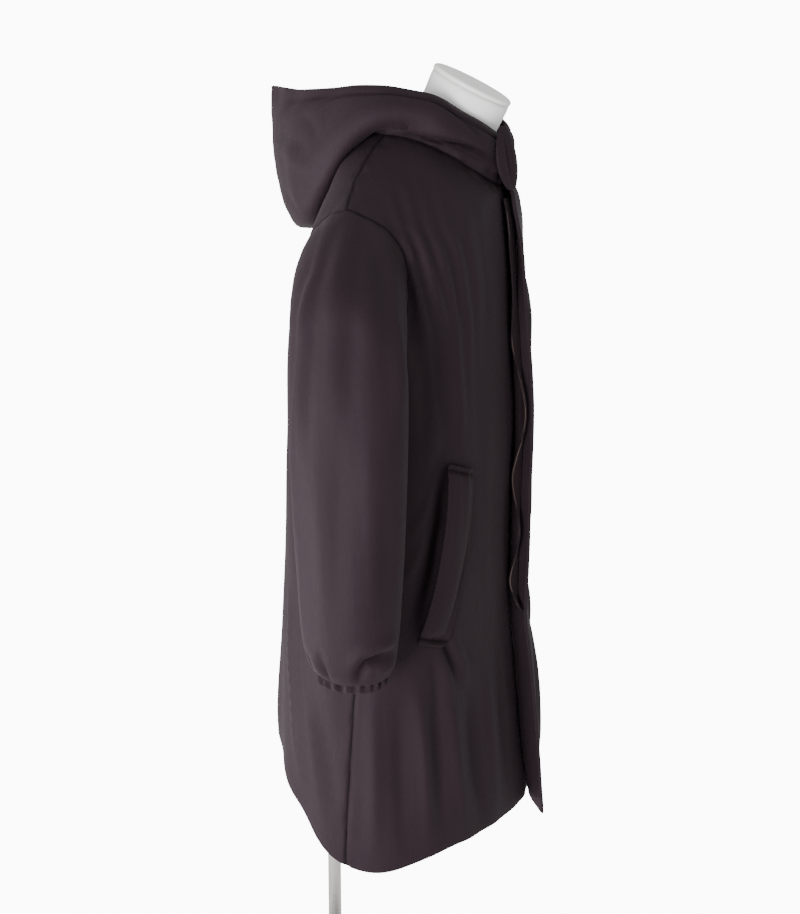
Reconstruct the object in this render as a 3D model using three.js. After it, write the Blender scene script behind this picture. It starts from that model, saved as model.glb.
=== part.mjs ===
// A padded, hooded parka with a concealed snap fly, on a limbless dress form with a pole stand.
// Millimetres, +Z up. The wearer's left is +X and the front is -Y. The floor is z = 0, and the pole
// stands on X = Y = 0. Every piece of cloth is a wall of even thickness round a middle surface that is
// worked out from the tables below, and pieces that are sewn together share their cut line.
import * as THREE from 'three';

// Cloth thicknesses and the clearance left at every seam.
const SHELL = 6;
const CUFF_CLOTH = 3;
const FLY_CLOTH = 3;
const WELT_CLOTH = 5;
const SEAM_GAP = 0.3;

// Grid sizes: rows below and above the underarm, columns in a quarter of the body.
const LOWER_ROWS = 13;
const UPPER_ROWS = 14;
const ROW_CROWDING = 1.6;
const COLUMNS = 14;
const FRONT_NECK_ROW = 8;
const BACK_NECK_ROW = 10;
const FLAP_COLUMNS = 4;

// Body of the coat by height: half width, right front and back centre lines, side seam.
const BODY = [
  { z: 500, half: 263, front: -306, back: 48, side: -139 },
  { z: 600, half: 260, front: -291, back: 42, side: -142 },
  { z: 710, half: 253, front: -280, back: 34, side: -147 },
  { z: 830, half: 241, front: -270, back: 27, side: -149 },
  { z: 960, half: 230, front: -270, back: 27, side: -147 },
  { z: 1090, half: 217, front: -273, back: 25, side: -143 },
  { z: 1122, half: 214, front: -271, back: 23, side: -140 },
  { z: 1200, half: 208, front: -266, back: 18, side: -136 },
  { z: 1300, half: 205, front: -261, back: 6, side: -130 },
  { z: 1357, half: 205, front: -258, back: -14, side: -125 },
  { z: 1400, half: 205, front: -252, back: -36, side: -125 },
  { z: 1470, half: 205, front: -245, back: -72, side: -125 },
];
const ROUNDNESS = 0.9;

// Height of the hem by angle from the front centre (0) past the side seam (90) to the back centre.
const HEM = [
  { angle: 0, z: 526 },
  { angle: 45, z: 529 },
  { angle: 78, z: 508 },
  { angle: 92, z: 515 },
  { angle: 103, z: 545 },
  { angle: 116, z: 584 },
  { angle: 138, z: 621 },
  { angle: 180, z: 636 },
];

// Underarm, shoulder point, neck point and the two ends of the neckline, on the wearer's right.
const UNDERARM_Z = 1122;
const UNDERARM_FLARE = 20;
const FLARE_HEIGHT = 46;
const SHOULDER_POINT = { x: -210, y: -124, z: 1361 };
const NECK_POINT = { x: -88, y: -125, z: 1453 };
const FRONT_NECK = { y: -254, z: 1388 };
const BACK_NECK = { y: -72, z: 1470 };
const SHOULDER_BOW = 8;

// Armhole from the underarm (0) to the shoulder point (1), along the front and along the back.
const ARMHOLE_FRONT = [
  { at: 0, x: -234, y: -140, z: 1122 },
  { at: 0.16, x: -223, y: -169, z: 1136 },
  { at: 0.36, x: -207, y: -193, z: 1188 },
  { at: 0.56, x: -200, y: -200, z: 1254 },
  { at: 0.8, x: -199, y: -188, z: 1322 },
  { at: 0.9, x: -204, y: -158, z: 1348 },
  { at: 1, x: -210, y: -124, z: 1361 },
];
const ARMHOLE_BACK = [
  { at: 0, x: -234, y: -140, z: 1122 },
  { at: 0.16, x: -223, y: -111, z: 1136 },
  { at: 0.36, x: -206, y: -84, z: 1188 },
  { at: 0.56, x: -197, y: -70, z: 1254 },
  { at: 0.8, x: -191, y: -66, z: 1328 },
  { at: 0.9, x: -200, y: -92, z: 1350 },
  { at: 1, x: -210, y: -124, z: 1361 },
];

// Hanging part of the sleeve by height: centre and half sizes.
const SLEEVE = [
  { z: 1240, x: -264, y: -150, halfX: 46, halfY: 74 },
  { z: 1150, x: -285, y: -158, halfX: 49, halfY: 73 },
  { z: 1080, x: -294, y: -161, halfX: 48, halfY: 71 },
  { z: 980, x: -297, y: -162, halfX: 49, halfY: 67 },
  { z: 880, x: -300, y: -164, halfX: 49, halfY: 62 },
  { z: 840, x: -302, y: -165, halfX: 48, halfY: 59 },
  { z: 824, x: -303, y: -166, halfX: 46, halfY: 56 },
  { z: 814, x: -303, y: -168, halfX: 45, halfY: 55 },
  { z: 807, x: -303, y: -169, halfX: 42, halfY: 51 },
  { z: 803, x: -303, y: -169, halfX: 39, halfY: 47 },
  { z: 800, x: -303, y: -168, halfX: 36, halfY: 44 },
];
const SLEEVE_ROWS = 13;
const RING_CROWDING = 1.8;
const SLEEVE_INNER_TOP = 1082;
const SLEEVE_OUTER_TOP = 1215;
const SLEEVE_END = 800;
const CUFF_BOTTOM = 784;
const CUFF_GATHERS = 24;
const CUFF_WAVE = 2.2;
const CUFF_DROP = 2.4;
const LEFT_SWING = 24;

// Free edge of the left front's fly flap by height: how far it stands forward of the right front.
const FLAP = [
  { z: 500, stand: 30 },
  { z: 611, stand: 32 },
  { z: 700, stand: 33 },
  { z: 745, stand: 31 },
  { z: 786, stand: 26 },
  { z: 842, stand: 32 },
  { z: 960, stand: 33 },
  { z: 1100, stand: 32 },
  { z: 1196, stand: 30 },
  { z: 1300, stand: 22 },
  { z: 1341, stand: 17 },
  { z: 1388, stand: 14 },
];
const FLAP_EDGE_X = -3;
const FLAP_ROOT = 0.028;
const CORNER_DROP = 20;
const OVERLAP_LIFT = 4;

// Underlap of the right front past the centre, turned back behind the left front.
const UNDERLAP = [
  { x: 0, behind: 0 },
  { x: 6, behind: 1.2 },
  { x: 13, behind: 3.9 },
  { x: 30, behind: 5.8 },
];

// Inner fly strip by height: how far its free edge stands forward of the right front.
const FLY = [
  { z: 806, edge: 26 },
  { z: 820, edge: 20 },
  { z: 840, edge: 10 },
  { z: 880, edge: 17 },
  { z: 918, edge: 25 },
  { z: 948, edge: 20 },
  { z: 975, edge: 13 },
  { z: 1000, edge: 9.5 },
  { z: 1030, edge: 16 },
  { z: 1060, edge: 24 },
  { z: 1098, edge: 26 },
  { z: 1140, edge: 19 },
  { z: 1178, edge: 10 },
  { z: 1230, edge: 14 },
  { z: 1300, edge: 12 },
  { z: 1346, edge: 10 },
  { z: 1372, edge: 7 },
];

// Hood: rim on the wearer's right, by share of its length from the front to the peak at the back.
const RIM = [
  { at: 0, x: -1, y: -256, z: 1449 },
  { at: 0.17, x: -52, y: -234, z: 1474 },
  { at: 0.33, x: -85, y: -179, z: 1504 },
  { at: 0.52, x: -106, y: -112, z: 1514 },
  { at: 0.76, x: -90, y: -25, z: 1512 },
  { at: 0.9, x: -50, y: 35, z: 1514 },
  { at: 1, x: 0, y: 84, z: 1523 },
];
// Fullness of the hood by share of the neckline: outward bulge, drop below the straight line from seam
// to rim, and how square the pouch hangs.
const HOOD = [
  { at: 0, bulge: 3, drop: 0, rim: 0 },
  { at: 0.3, bulge: 13, drop: 4, rim: 0.2 },
  { at: 0.6, bulge: 26, drop: 16, rim: 0.44 },
  { at: 0.7, bulge: 32, drop: 42, rim: 0.56 },
  { at: 0.8, bulge: 34, drop: 96, rim: 0.7 },
  { at: 0.9, bulge: 33, drop: 152, rim: 0.86 },
  { at: 1, bulge: 33, drop: 176, rim: 1 },
];
const HOOD_ROWS = 13;
const STAND_ROWS = 2;
const HOOD_STAND = 15;
const HOOD_CLEAR = 12;
const HOOD_GAP = 0.7;

// Collar tab at the top of the overlapping front, by height: its two side edges and its face.
const COLLAR_TAB = [
  { z: 1386, right: -20, left: -6, yRight: -270, yLeft: -274.7 },
  { z: 1400, right: -31, left: -2, yRight: -265, yLeft: -275.7 },
  { z: 1425, right: -37, left: -3, yRight: -261, yLeft: -274.7 },
  { z: 1445, right: -33, left: -8, yRight: -259.5, yLeft: -270.7 },
  { z: 1464, right: -23, left: -17, yRight: -260, yLeft: -263.7 },
];

// Welt of the slanted pocket: angle and height of its four corners on the front, how far it bows
// forward at mid height, and how far its back edge stands off there.
const WELT = {
  topFront: 31, topBack: 44, bottomFront: 45, bottomBack: 59, top: 1041, bottom: 815, bow: 1.7, open: 5,
};

// Dress form by height: centre, half sizes and forward lean of each section, in degrees.
const FORM = [
  { z: 862, y: -111, halfX: 158, halfY: 122, lean: 0 },
  { z: 872, y: -111, halfX: 163, halfY: 124, lean: 0 },
  { z: 940, y: -113, halfX: 166, halfY: 122, lean: 0 },
  { z: 1050, y: -126, halfX: 148, halfY: 104, lean: 0 },
  { z: 1180, y: -134, halfX: 162, halfY: 112, lean: 0 },
  { z: 1290, y: -134, halfX: 176, halfY: 108, lean: 0 },
  { z: 1346.6, y: -133, halfX: 176, halfY: 92, lean: 2 },
  { z: 1382.6, y: -135, halfX: 163, halfY: 78, lean: 5 },
  { z: 1405.1, y: -141, halfX: 136, halfY: 70, lean: 9 },
  { z: 1425.1, y: -153, halfX: 103, halfY: 64, lean: 13 },
  { z: 1440.6, y: -167, halfX: 78, halfY: 60, lean: 17 },
  { z: 1457, y: -180, halfX: 61, halfY: 56, lean: 20 },
  { z: 1489, y: -198, halfX: 56, halfY: 55, lean: 24 },
  { z: 1517, y: -211, halfX: 55, halfY: 57, lean: 28 },
];
const CAP_HEIGHT = 7;
const FORM_SIDES = 40;

// Stand.
const POLE_RADIUS = 10;
const BASE_RADIUS = 190;
const BASE_HEIGHT = 10;
const SOCKET_RADIUS = 18;
const SOCKET_TOP = 60;
const ROUND_SIDES = 36;

const RIGHT_ANGLE = Math.PI / 2;
const point = (x, y, z) => new THREE.Vector3(x, y, z);
const mix = (a, b, t) => a + (b - a) * t;
const clamp = (t) => Math.min(1, Math.max(0, t));
const ease = (t) => clamp(t) * clamp(t) * (3 - 2 * clamp(t));

// Smooth curve through the rows of a table: the value of one column at a place in another column.
function read(table, key, column, at) {
  const rising = table[0][key] < table[table.length - 1][key];
  const rows = rising ? table : [...table].reverse();
  const last = rows.length - 1;
  const place = Math.min(rows[last][key], Math.max(rows[0][key], at));
  let i = 0;
  while (i < last - 1 && rows[i + 1][key] < place) i += 1;
  const slope = (a, b) => (rows[b][column] - rows[a][column]) / (rows[b][key] - rows[a][key]);
  const here = slope(i, i + 1);
  const start = i > 0 ? (slope(i - 1, i) + here) / 2 : here;
  const end = i + 2 <= last ? (slope(i + 1, i + 2) + here) / 2 : here;
  const span = rows[i + 1][key] - rows[i][key];
  const t = (place - rows[i][key]) / span;
  const from = rows[i][column];
  const to = rows[i + 1][column];
  return from * (1 + 2 * t) * (1 - t) ** 2 + to * t * t * (3 - 2 * t)
    + span * start * t * (1 - t) ** 2 - span * end * t * t * (1 - t);
}
const readPoint = (table, key, at) => point(...['x', 'y', 'z'].map((c) => read(table, key, c, at)));
const mirror = (p) => point(-p.x, p.y, p.z);

// A quarter of a rounded ring of the body on the right: share 0 is its centre line and 1 its side.
function ringPoint(isFront, share, z) {
  const across = Math.sin(share * RIGHT_ANGLE) ** ROUNDNESS;
  const deep = 1 - Math.max(0, Math.cos(share * RIGHT_ANGLE)) ** ROUNDNESS;
  const centre = read(BODY, 'z', isFront ? 'front' : 'back', z);
  return point(-read(BODY, 'z', 'half', z) * across, mix(centre, read(BODY, 'z', 'side', z), deep), z);
}
// Share of that quarter at which it is as wide as a point.
function shareOf(p) {
  const across = clamp(-p.x / read(BODY, 'z', 'half', p.z));
  return Math.asin(across ** (1 / ROUNDNESS)) / RIGHT_ANGLE;
}
// Row of the yoke between two cut lines: a bowed line that turns straight as `flat` grows.
function corner(from, to, s, flat) {
  const across = mix(Math.sin(s * RIGHT_ANGLE) ** ROUNDNESS, s, flat);
  const deep = mix(1 - Math.max(0, Math.cos(s * RIGHT_ANGLE)) ** ROUNDNESS, s, flat);
  const rise = mix(ease(s), s, flat);
  const bow = SHOULDER_BOW * Math.sin(Math.PI * s) * flat ** 4;
  return point(mix(from.x, to.x, across), mix(from.y, to.y, deep) + bow, mix(from.z, to.z, rise));
}
const flareAt = (z) => UNDERARM_FLARE * clamp((z - UNDERARM_Z + FLARE_HEIGHT) / FLARE_HEIGHT) ** 3.5;

// Half of the neckline, from its front (0) or back end to the neck point (1), on the right.
function neckline(isFront, q) {
  const end = isFront ? FRONT_NECK : BACK_NECK;
  const sine = Math.sin(q * RIGHT_ANGLE);
  const rest = Math.cos(q * RIGHT_ANGLE);
  return point(NECK_POINT.x * sine, mix(NECK_POINT.y, end.y, rest), mix(end.z, NECK_POINT.z, sine * sine));
}

// Soft folds of the skirt and the drag folds of the chest: an outward shift by angle and height.
function fold(angle, z) {
  const low = ease((820 - z) / 260);
  const skirt = low * (3.5 * Math.sin(angle * 9.5 + 0.6) + 2 * Math.sin(angle * 5.2));
  const high = ease((z - 1030) / 120) * ease((1370 - z) / 90);
  const drag = high * 1.8 * Math.sin(angle * 13 + (z - 1200) / 70);
  const seamless = Math.sin(angle * 2) ** 2;
  return (skirt + drag) * seamless;
}

// Point of a front or back quarter on the right: row from the hem up, s from the centre to the side.
function quarter(isFront, row, s) {
  const angle = isFront ? s * RIGHT_ANGLE : Math.PI - s * RIGHT_ANGLE;
  let p;
  if (row <= LOWER_ROWS) {
    const hem = read(HEM, 'angle', 'z', THREE.MathUtils.radToDeg(angle));
    const z = mix(hem, UNDERARM_Z, 1 - (1 - row / LOWER_ROWS) ** ROW_CROWDING);
    p = ringPoint(isFront, s, z);
    p.x -= flareAt(z) * s ** 8;
  } else {
    const up = row - LOWER_ROWS;
    const t = up / UPPER_ROWS;
    const neckRow = isFront ? FRONT_NECK_ROW : BACK_NECK_ROW;
    const neck = isFront ? FRONT_NECK : BACK_NECK;
    const z = mix(UNDERARM_Z, neck.z, up / neckRow);
    const level = ringPoint(isFront, 0, Math.min(z, neck.z));
    level.y = mix(level.y, neck.y, ease((z - 1300) / (neck.z - 1300)));
    const from = up <= neckRow ? level : neckline(isFront, (up - neckRow) / (UPPER_ROWS - neckRow));
    const to = readPoint(isFront ? ARMHOLE_FRONT : ARMHOLE_BACK, 'at', t);
    const first = shareOf(from);
    const last = shareOf(to);
    const round = ringPoint(isFront, mix(first, last, s), mix(from.z, to.z, s));
    const power = mix(8, 3, ease(t / 0.4));
    round.addScaledVector(to.clone().sub(ringPoint(isFront, last, to.z)), s ** power);
    round.addScaledVector(from.clone().sub(ringPoint(isFront, first, from.z)), (1 - s) ** 3);
    p = round.lerp(corner(from, to, s, ease((t - 0.35) / 0.65)), ease((t - 0.3) / 0.5));
  }
  const shift = fold(angle, p.z);
  p.x -= shift * Math.sin(angle);
  p.y -= shift * Math.cos(angle);
  return p;
}

// Start of a row of the left front: the free edge of the flap, then the neckline of the overlap.
function leftStart(row) {
  const up = row - LOWER_ROWS;
  const plain = quarter(true, row, 0);
  if (up <= FRONT_NECK_ROW) {
    const drop = CORNER_DROP * (1 - Math.min(1, row / LOWER_ROWS)) ** 6;
    return point(FLAP_EDGE_X, plain.y - read(FLAP, 'z', 'stand', plain.z), plain.z - drop);
  }
  const left = 1 - (up - FRONT_NECK_ROW) / (UPPER_ROWS - FRONT_NECK_ROW);
  const stand = FLAP[FLAP.length - 1].stand;
  return point(-plain.x + FLAP_EDGE_X * left, plain.y - stand * left ** 2, plain.z);
}

// Point of the left front: the mirrored quarter, lifted over the right one, then the standing flap.
function leftFront(row, column) {
  const start = leftStart(row);
  const up = row - LOWER_ROWS;
  const blend = ease((up - FRONT_NECK_ROW + 5) / 5);
  const raised = (s) => {
    const p = mirror(quarter(true, row, s));
    p.y -= OVERLAP_LIFT * (1 - ease(s / 0.3)) * (1 - blend);
    return p;
  };
  const s = column / COLUMNS;
  const own = mirror(quarter(true, row, s));
  const offset = start.clone().sub(mirror(quarter(true, row, 0)));
  const plain = own.add(offset.multiplyScalar((1 - ease(s / 0.55))));
  if (column >= FLAP_COLUMNS) {
    const along = mix(FLAP_ROOT, 1, (column - FLAP_COLUMNS) / (COLUMNS - FLAP_COLUMNS));
    return raised(along).lerp(plain, blend);
  }
  const root = raised(FLAP_ROOT);
  const next = raised(FLAP_ROOT + 0.05);
  const reach = root.distanceTo(start) * 0.28;
  const lead = root.clone().add(root.clone().sub(next).normalize().multiplyScalar(reach));
  const t = 1 - column / FLAP_COLUMNS;
  const curve = new THREE.QuadraticBezierCurve3(root, lead, start);
  return curve.getPoint(t).lerp(plain, blend);
}

// Rectangle of points: rows by columns.
const lattice = (rows, columns, at) => Array.from({ length: rows + 1 }, (_, i) => (
  Array.from({ length: columns + 1 }, (__, j) => at(i, j))));
const flip = (grid) => grid.map((row) => [...row].reverse());

const ALL_ROWS = LOWER_ROWS + UPPER_ROWS;
const rightFrontGrid = flip(lattice(ALL_ROWS, COLUMNS, (i, j) => quarter(true, i, j / COLUMNS)));
const underlapGrid = lattice(LOWER_ROWS + FRONT_NECK_ROW, UNDERLAP.length - 1, (i, j) => {
  const p = quarter(true, i, 0);
  return point(p.x + UNDERLAP[j].x, p.y + UNDERLAP[j].behind, p.z);
});
const leftFrontGrid = lattice(ALL_ROWS, COLUMNS, (i, j) => leftFront(i, j));
const rightBackGrid = lattice(ALL_ROWS, COLUMNS, (i, j) => quarter(false, i, j / COLUMNS));
const leftBackGrid = flip(rightBackGrid.map((row) => row.map(mirror)));

// Sleeve on the right: the first ring is the armhole, and below it the rings turn level.
function sleevePoint(row, column) {
  const turn = (column % (2 * UPPER_ROWS)) / UPPER_ROWS;
  const angle = Math.PI * turn;
  const table = turn <= 1 ? ARMHOLE_FRONT : ARMHOLE_BACK;
  const seam = readPoint(table, 'at', turn <= 1 ? turn : 2 - turn);
  const outer = (1 - Math.cos(angle)) / 2;
  const top = mix(SLEEVE_INNER_TOP, SLEEVE_OUTER_TOP, outer);
  const tube = (z) => point(
    read(SLEEVE, 'z', 'x', z) + read(SLEEVE, 'z', 'halfX', z) * Math.cos(angle),
    read(SLEEVE, 'z', 'y', z) - read(SLEEVE, 'z', 'halfY', z) * Math.sin(angle),
    z,
  );
  const capRows = 5;
  if (row >= capRows) {
    const share = (row - capRows) / (SLEEVE_ROWS - capRows);
    return tube(mix(top, SLEEVE_END, 1 - (1 - share) ** RING_CROWDING));
  }
  const meet = tube(top);
  const reach = seam.distanceTo(meet);
  const lean = point(-0.75, -0.16 * Math.sin(angle), -0.6 + 0.35 * (1 - outer));
  lean.normalize().multiplyScalar(reach * 0.4);
  const drop = point(0, 0, reach * 0.35);
  const curve = new THREE.CubicBezierCurve3(seam, seam.clone().add(lean), meet.clone().add(drop), meet);
  return curve.getPoint(row / capRows);
}
const sleeveGrid = lattice(SLEEVE_ROWS, 2 * UPPER_ROWS, sleevePoint);

// Gathered cuff below the sleeve: a short tube whose wall waves in and out.
function cuffPoint(row, column) {
  const count = CUFF_GATHERS * 3;
  const angle = (2 * Math.PI * (column % count)) / count;
  const wave = CUFF_WAVE * Math.cos(angle * CUFF_GATHERS) * (1 + 0.3 * Math.sin(angle * 5));
  const z = mix(SLEEVE_END - CUFF_DROP, CUFF_BOTTOM, row / 2);
  const inset = 1.5 + 1.5 * row;
  return point(
    -303 + (36 - inset + wave) * Math.cos(angle),
    -168 - (44 - inset + wave) * Math.sin(angle),
    z,
  );
}
const cuffGrid = lattice(2, CUFF_GATHERS * 3, cuffPoint);

// Sheet of cloth: grids merged into one middle surface with a direction of thickness at every point.
const keyOf = (p) => [p.x, p.y, p.z].map((c) => Math.round(c * 500)).join();
function sheet(...grids) {
  const points = [];
  const faces = [];
  const known = new Map();
  const id = (p) => {
    const key = keyOf(p);
    if (!known.has(key)) {
      known.set(key, points.length);
      points.push(p.clone());
    }
    return known.get(key);
  };
  for (const grid of grids) {
    for (let i = 0; i + 1 < grid.length; i += 1) {
      for (let j = 0; j + 1 < grid[i].length; j += 1) {
        const ring = [grid[i][j], grid[i][j + 1], grid[i + 1][j + 1], grid[i + 1][j]].map(id);
        faces.push(ring.filter((v, k) => v !== ring[(k + 1) % 4]));
      }
    }
  }
  const normals = points.map(() => point(0, 0, 0));
  const edges = new Map();
  for (const face of faces) {
    const [a, b, c] = face;
    const d = face[face.length - 1];
    const first = points[c].clone().sub(points[a]);
    const second = points[d].clone().sub(points[b]);
    const normal = first.cross(second).normalize();
    face.forEach((v, k) => {
      normals[v].add(normal);
      const next = face[(k + 1) % face.length];
      edges.set(`${v},${next}`, { from: v, to: next, normal });
    });
  }
  normals.forEach((n) => n.normalize());
  const rim = [...edges.values()].filter((e) => !edges.has(`${e.to},${e.from}`));
  return { points, faces, normals, rim, id };
}

// The same point, moved out of the sheets until it is clear of their middle surfaces by a distance.
function clearOf(p, sheets, distance) {
  const triangle = new THREE.Triangle();
  const touch = point(0, 0, 0);
  const best = { gap: Infinity, normal: null, at: point(0, 0, 0) };
  for (const s of sheets) {
    for (const face of s.faces) {
      for (let k = 1; k + 1 < face.length; k += 1) {
        triangle.set(s.points[face[0]], s.points[face[k]], s.points[face[k + 1]]);
        triangle.closestPointToPoint(p, touch);
        const gap = touch.distanceTo(p);
        if (gap < best.gap) {
          best.gap = gap;
          best.normal = triangle.getNormal(point(0, 0, 0));
          best.at.copy(touch);
        }
      }
    }
  }
  const height = p.clone().sub(best.at).dot(best.normal);
  return height < distance && best.gap < 60 ? p.clone().addScaledVector(best.normal, distance - height) : p;
}

// Sheets that meet at a point take one direction there, so that their edges lie along each other: the
// mean of the two that differ most.
function shareSeams(sheets) {
  const shared = new Map();
  for (const s of sheets) {
    for (const v of new Set(s.rim.map((e) => e.from))) {
      const key = keyOf(s.points[v]);
      if (!shared.has(key)) shared.set(key, []);
      shared.get(key).push(s.normals[v]);
    }
  }
  for (const list of shared.values()) {
    let pair = [list[0], list[0]];
    for (const a of list) {
      for (const b of list) {
        if (a.dot(b) < pair[0].dot(pair[1])) pair = [a, b];
      }
    }
    const mean = pair[0].clone().add(pair[1]).normalize();
    list.forEach((n) => n.copy(mean));
  }
}

// The hood has twice as many points along the neckline as the panels: those between take the mean of
// their neighbours' directions.
function fillHalfway(hood, seam) {
  for (let j = 1; j < seam.length; j += 2) {
    const [before, own, after] = [seam[j - 1], seam[j], seam[j + 1]].map((p) => hood.normals[hood.id(p)]);
    own.copy(before).add(after).normalize();
  }
}

// Closed wall of even thickness about a sheet, drawn back from its own edges by half a seam gap.
function wall(s, thickness, gap = SEAM_GAP) {
  const count = s.points.length;
  const inward = s.points.map(() => point(0, 0, 0));
  for (const edge of s.rim) {
    const along = s.points[edge.to].clone().sub(s.points[edge.from]);
    const inside = edge.normal.clone().cross(along).normalize();
    inward[edge.from].add(inside);
    inward[edge.to].add(inside);
  }
  const middle = s.points.map((p, v) => {
    const pull = inward[v];
    const size = pull.length();
    return size > 0 ? p.clone().addScaledVector(pull, gap / size / Math.max(size / 2, 0.5) / 2) : p.clone();
  });
  const outer = middle.map((p, v) => p.clone().addScaledVector(s.normals[v], thickness / 2));
  const inner = middle.map((p, v) => p.clone().addScaledVector(s.normals[v], -thickness / 2));
  const faces = s.faces.map((face) => [...face]);
  for (const face of s.faces) faces.push([...face].reverse().map((v) => v + count));
  for (const e of s.rim) faces.push([e.to, e.from, e.from + count, e.to + count]);
  return solid([...outer, ...inner], faces);
}

// Triangle mesh of the faces of a closed body, with each four-sided face cut along its short diagonal.
function solid(points, faces) {
  const index = [];
  for (const face of faces) {
    const [a, b, c, d] = face;
    if (face.length === 3) {
      index.push(a, b, c);
    } else if (points[a].distanceTo(points[c]) <= points[b].distanceTo(points[d])) {
      index.push(a, b, c, a, c, d);
    } else {
      index.push(a, b, d, b, c, d);
    }
  }
  const geometry = new THREE.BufferGeometry();
  const numbers = points.flatMap((p) => [p.x, p.y, p.z]);
  geometry.setAttribute('position', new THREE.Float32BufferAttribute(numbers, 3));
  geometry.setIndex(index);
  geometry.computeVertexNormals();
  return geometry;
}

// Closed body through a stack of rings, with a flat cap at each end.
function stack(rings) {
  const sides = rings[0].length;
  const points = rings.flat();
  const faces = [];
  for (let i = 0; i + 1 < rings.length; i += 1) {
    for (let j = 0; j < sides; j += 1) {
      const k = (j + 1) % sides;
      faces.push([i * sides + j, i * sides + k, (i + 1) * sides + k, (i + 1) * sides + j]);
    }
  }
  for (const [end, step] of [[0, -1], [rings.length - 1, 1]]) {
    const centre = rings[end].reduce((sum, p) => sum.add(p), point(0, 0, 0)).divideScalar(sides);
    points.push(centre);
    const hub = points.length - 1;
    for (let j = 0; j < sides; j += 1) {
      const own = end * sides + j;
      const next = end * sides + (j + 1) % sides;
      faces.push(step > 0 ? [own, next, hub] : [next, own, hub]);
    }
  }
  return solid(points, faces);
}
function ring(sides, at) {
  return Array.from({ length: sides }, (_, j) => at((2 * Math.PI * j) / sides));
}
const disc = (radius, z, sides) => ring(sides, (a) => point(radius * Math.cos(a), radius * Math.sin(a), z));

// Hood on one side: columns along the neckline, rows from the seam to the rim.
const NECK_STEPS = (UPPER_ROWS - FRONT_NECK_ROW) + (UPPER_ROWS - BACK_NECK_ROW);
function neckVertex(isLeft, step) {
  const frontSteps = UPPER_ROWS - FRONT_NECK_ROW;
  if (step <= frontSteps) {
    const row = ALL_ROWS - frontSteps + step;
    return isLeft ? leftFront(row, 0) : quarter(true, row, 0);
  }
  const p = quarter(false, ALL_ROWS - (step - frontSteps), 0);
  return isLeft ? mirror(p) : p;
}
function hoodPoint(isLeft, row, column) {
  const low = Math.floor(column / 2);
  const seam = neckVertex(isLeft, low);
  if (column % 2) seam.lerp(neckVertex(isLeft, low + 1), 0.5);
  const at = column / (2 * NECK_STEPS);
  const rim = readPoint(RIM, 'at', read(HOOD, 'at', 'rim', at));
  if (isLeft) {
    rim.x *= -1;
    const over = ease(1 - at / 0.35);
    rim.x += FLAP_EDGE_X * over;
    rim.y -= (FLAP[FLAP.length - 1].stand - 6) * over;
  }
  const base = seam.clone();
  base.z += HOOD_STAND;
  if (row <= STAND_ROWS) return seam.lerp(base, row / STAND_ROWS);
  const v = (row - STAND_ROWS) / (HOOD_ROWS - STAND_ROWS);
  const p = base.lerp(rim, v);
  const out = point(seam.x, seam.y + 160, 0).lerp(point(rim.x, rim.y + 120, 0), v);
  out.x *= 1.4;
  out.normalize();
  const swell = Math.sin(Math.PI * v);
  p.addScaledVector(out, read(HOOD, 'at', 'bulge', at) * swell ** 0.7);
  p.z -= read(HOOD, 'at', 'drop', at) * swell ** 0.75;
  if (column === 2 * NECK_STEPS) p.x = 0;
  return row < HOOD_ROWS - 1 ? clearOf(p, isLeft ? [frontLeft, back] : [frontRight, back], HOOD_CLEAR) : p;
}
const hoodGrid = (isLeft) => lattice(HOOD_ROWS, 2 * NECK_STEPS, (i, j) => hoodPoint(isLeft, i, j));

// Section of the dress form: an oval, leaning forward about its middle.
function formRing(row, lift = 0) {
  const lean = THREE.MathUtils.degToRad(row.lean);
  return ring(FORM_SIDES, (a) => {
    const deep = row.halfY * Math.sin(a);
    return point(
      row.halfX * Math.cos(a),
      row.y - lift * Math.sin(lean) + deep * Math.cos(lean),
      row.z + lift * Math.cos(lean) + deep * Math.sin(lean),
    );
  });
}

// Point on a panel's own facets, for what lies on it, by distance from the middle plane and height.
function onPanel(grid, width, z) {
  const near = grid.map((row) => {
    const order = Math.abs(row[0].x) > Math.abs(row[row.length - 1].x) ? [...row].reverse() : row;
    let j = 0;
    while (j < order.length - 2 && Math.abs(order[j + 1].x) < width) j += 1;
    const inner = Math.abs(order[j].x);
    return order[j].clone().lerp(order[j + 1], (width - inner) / (Math.abs(order[j + 1].x) - inner));
  });
  let i = 0;
  while (i < near.length - 2 && near[i + 1].z < z) i += 1;
  return near[i].clone().lerp(near[i + 1], (z - near[i].z) / (near[i + 1].z - near[i].z));
}
const WELT_ROWS = 10;
const WELT_COLUMNS = 3;
function weltPoint(grid, row, column) {
  const v = row / WELT_ROWS;
  const u = column / WELT_COLUMNS;
  const straight = mix(mix(WELT.bottomBack, WELT.bottomFront, u), mix(WELT.topBack, WELT.topFront, u), v);
  const angle = straight - WELT.bow * Math.sin(Math.PI * v);
  const z = mix(WELT.bottom, WELT.top, v);
  const p = onPanel(grid, -ringPoint(true, angle / 90, z).x, z);
  const out = point(p.x * 0.75, p.y + 145, 0).normalize();
  const lift = SHELL / 2 + WELT_CLOTH / 2 + 1.6 + WELT.open * Math.sin(Math.PI * v) * (1 - u);
  return p.addScaledVector(out, lift);
}

// Point at a height on one column of a panel's grid.
function columnAt(grid, column, z) {
  let i = 0;
  while (i < grid.length - 2 && grid[i + 1][column].z < z) i += 1;
  const from = grid[i][column];
  const to = grid[i + 1][column];
  return from.clone().lerp(to, (z - from.z) / (to.z - from.z));
}

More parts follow.
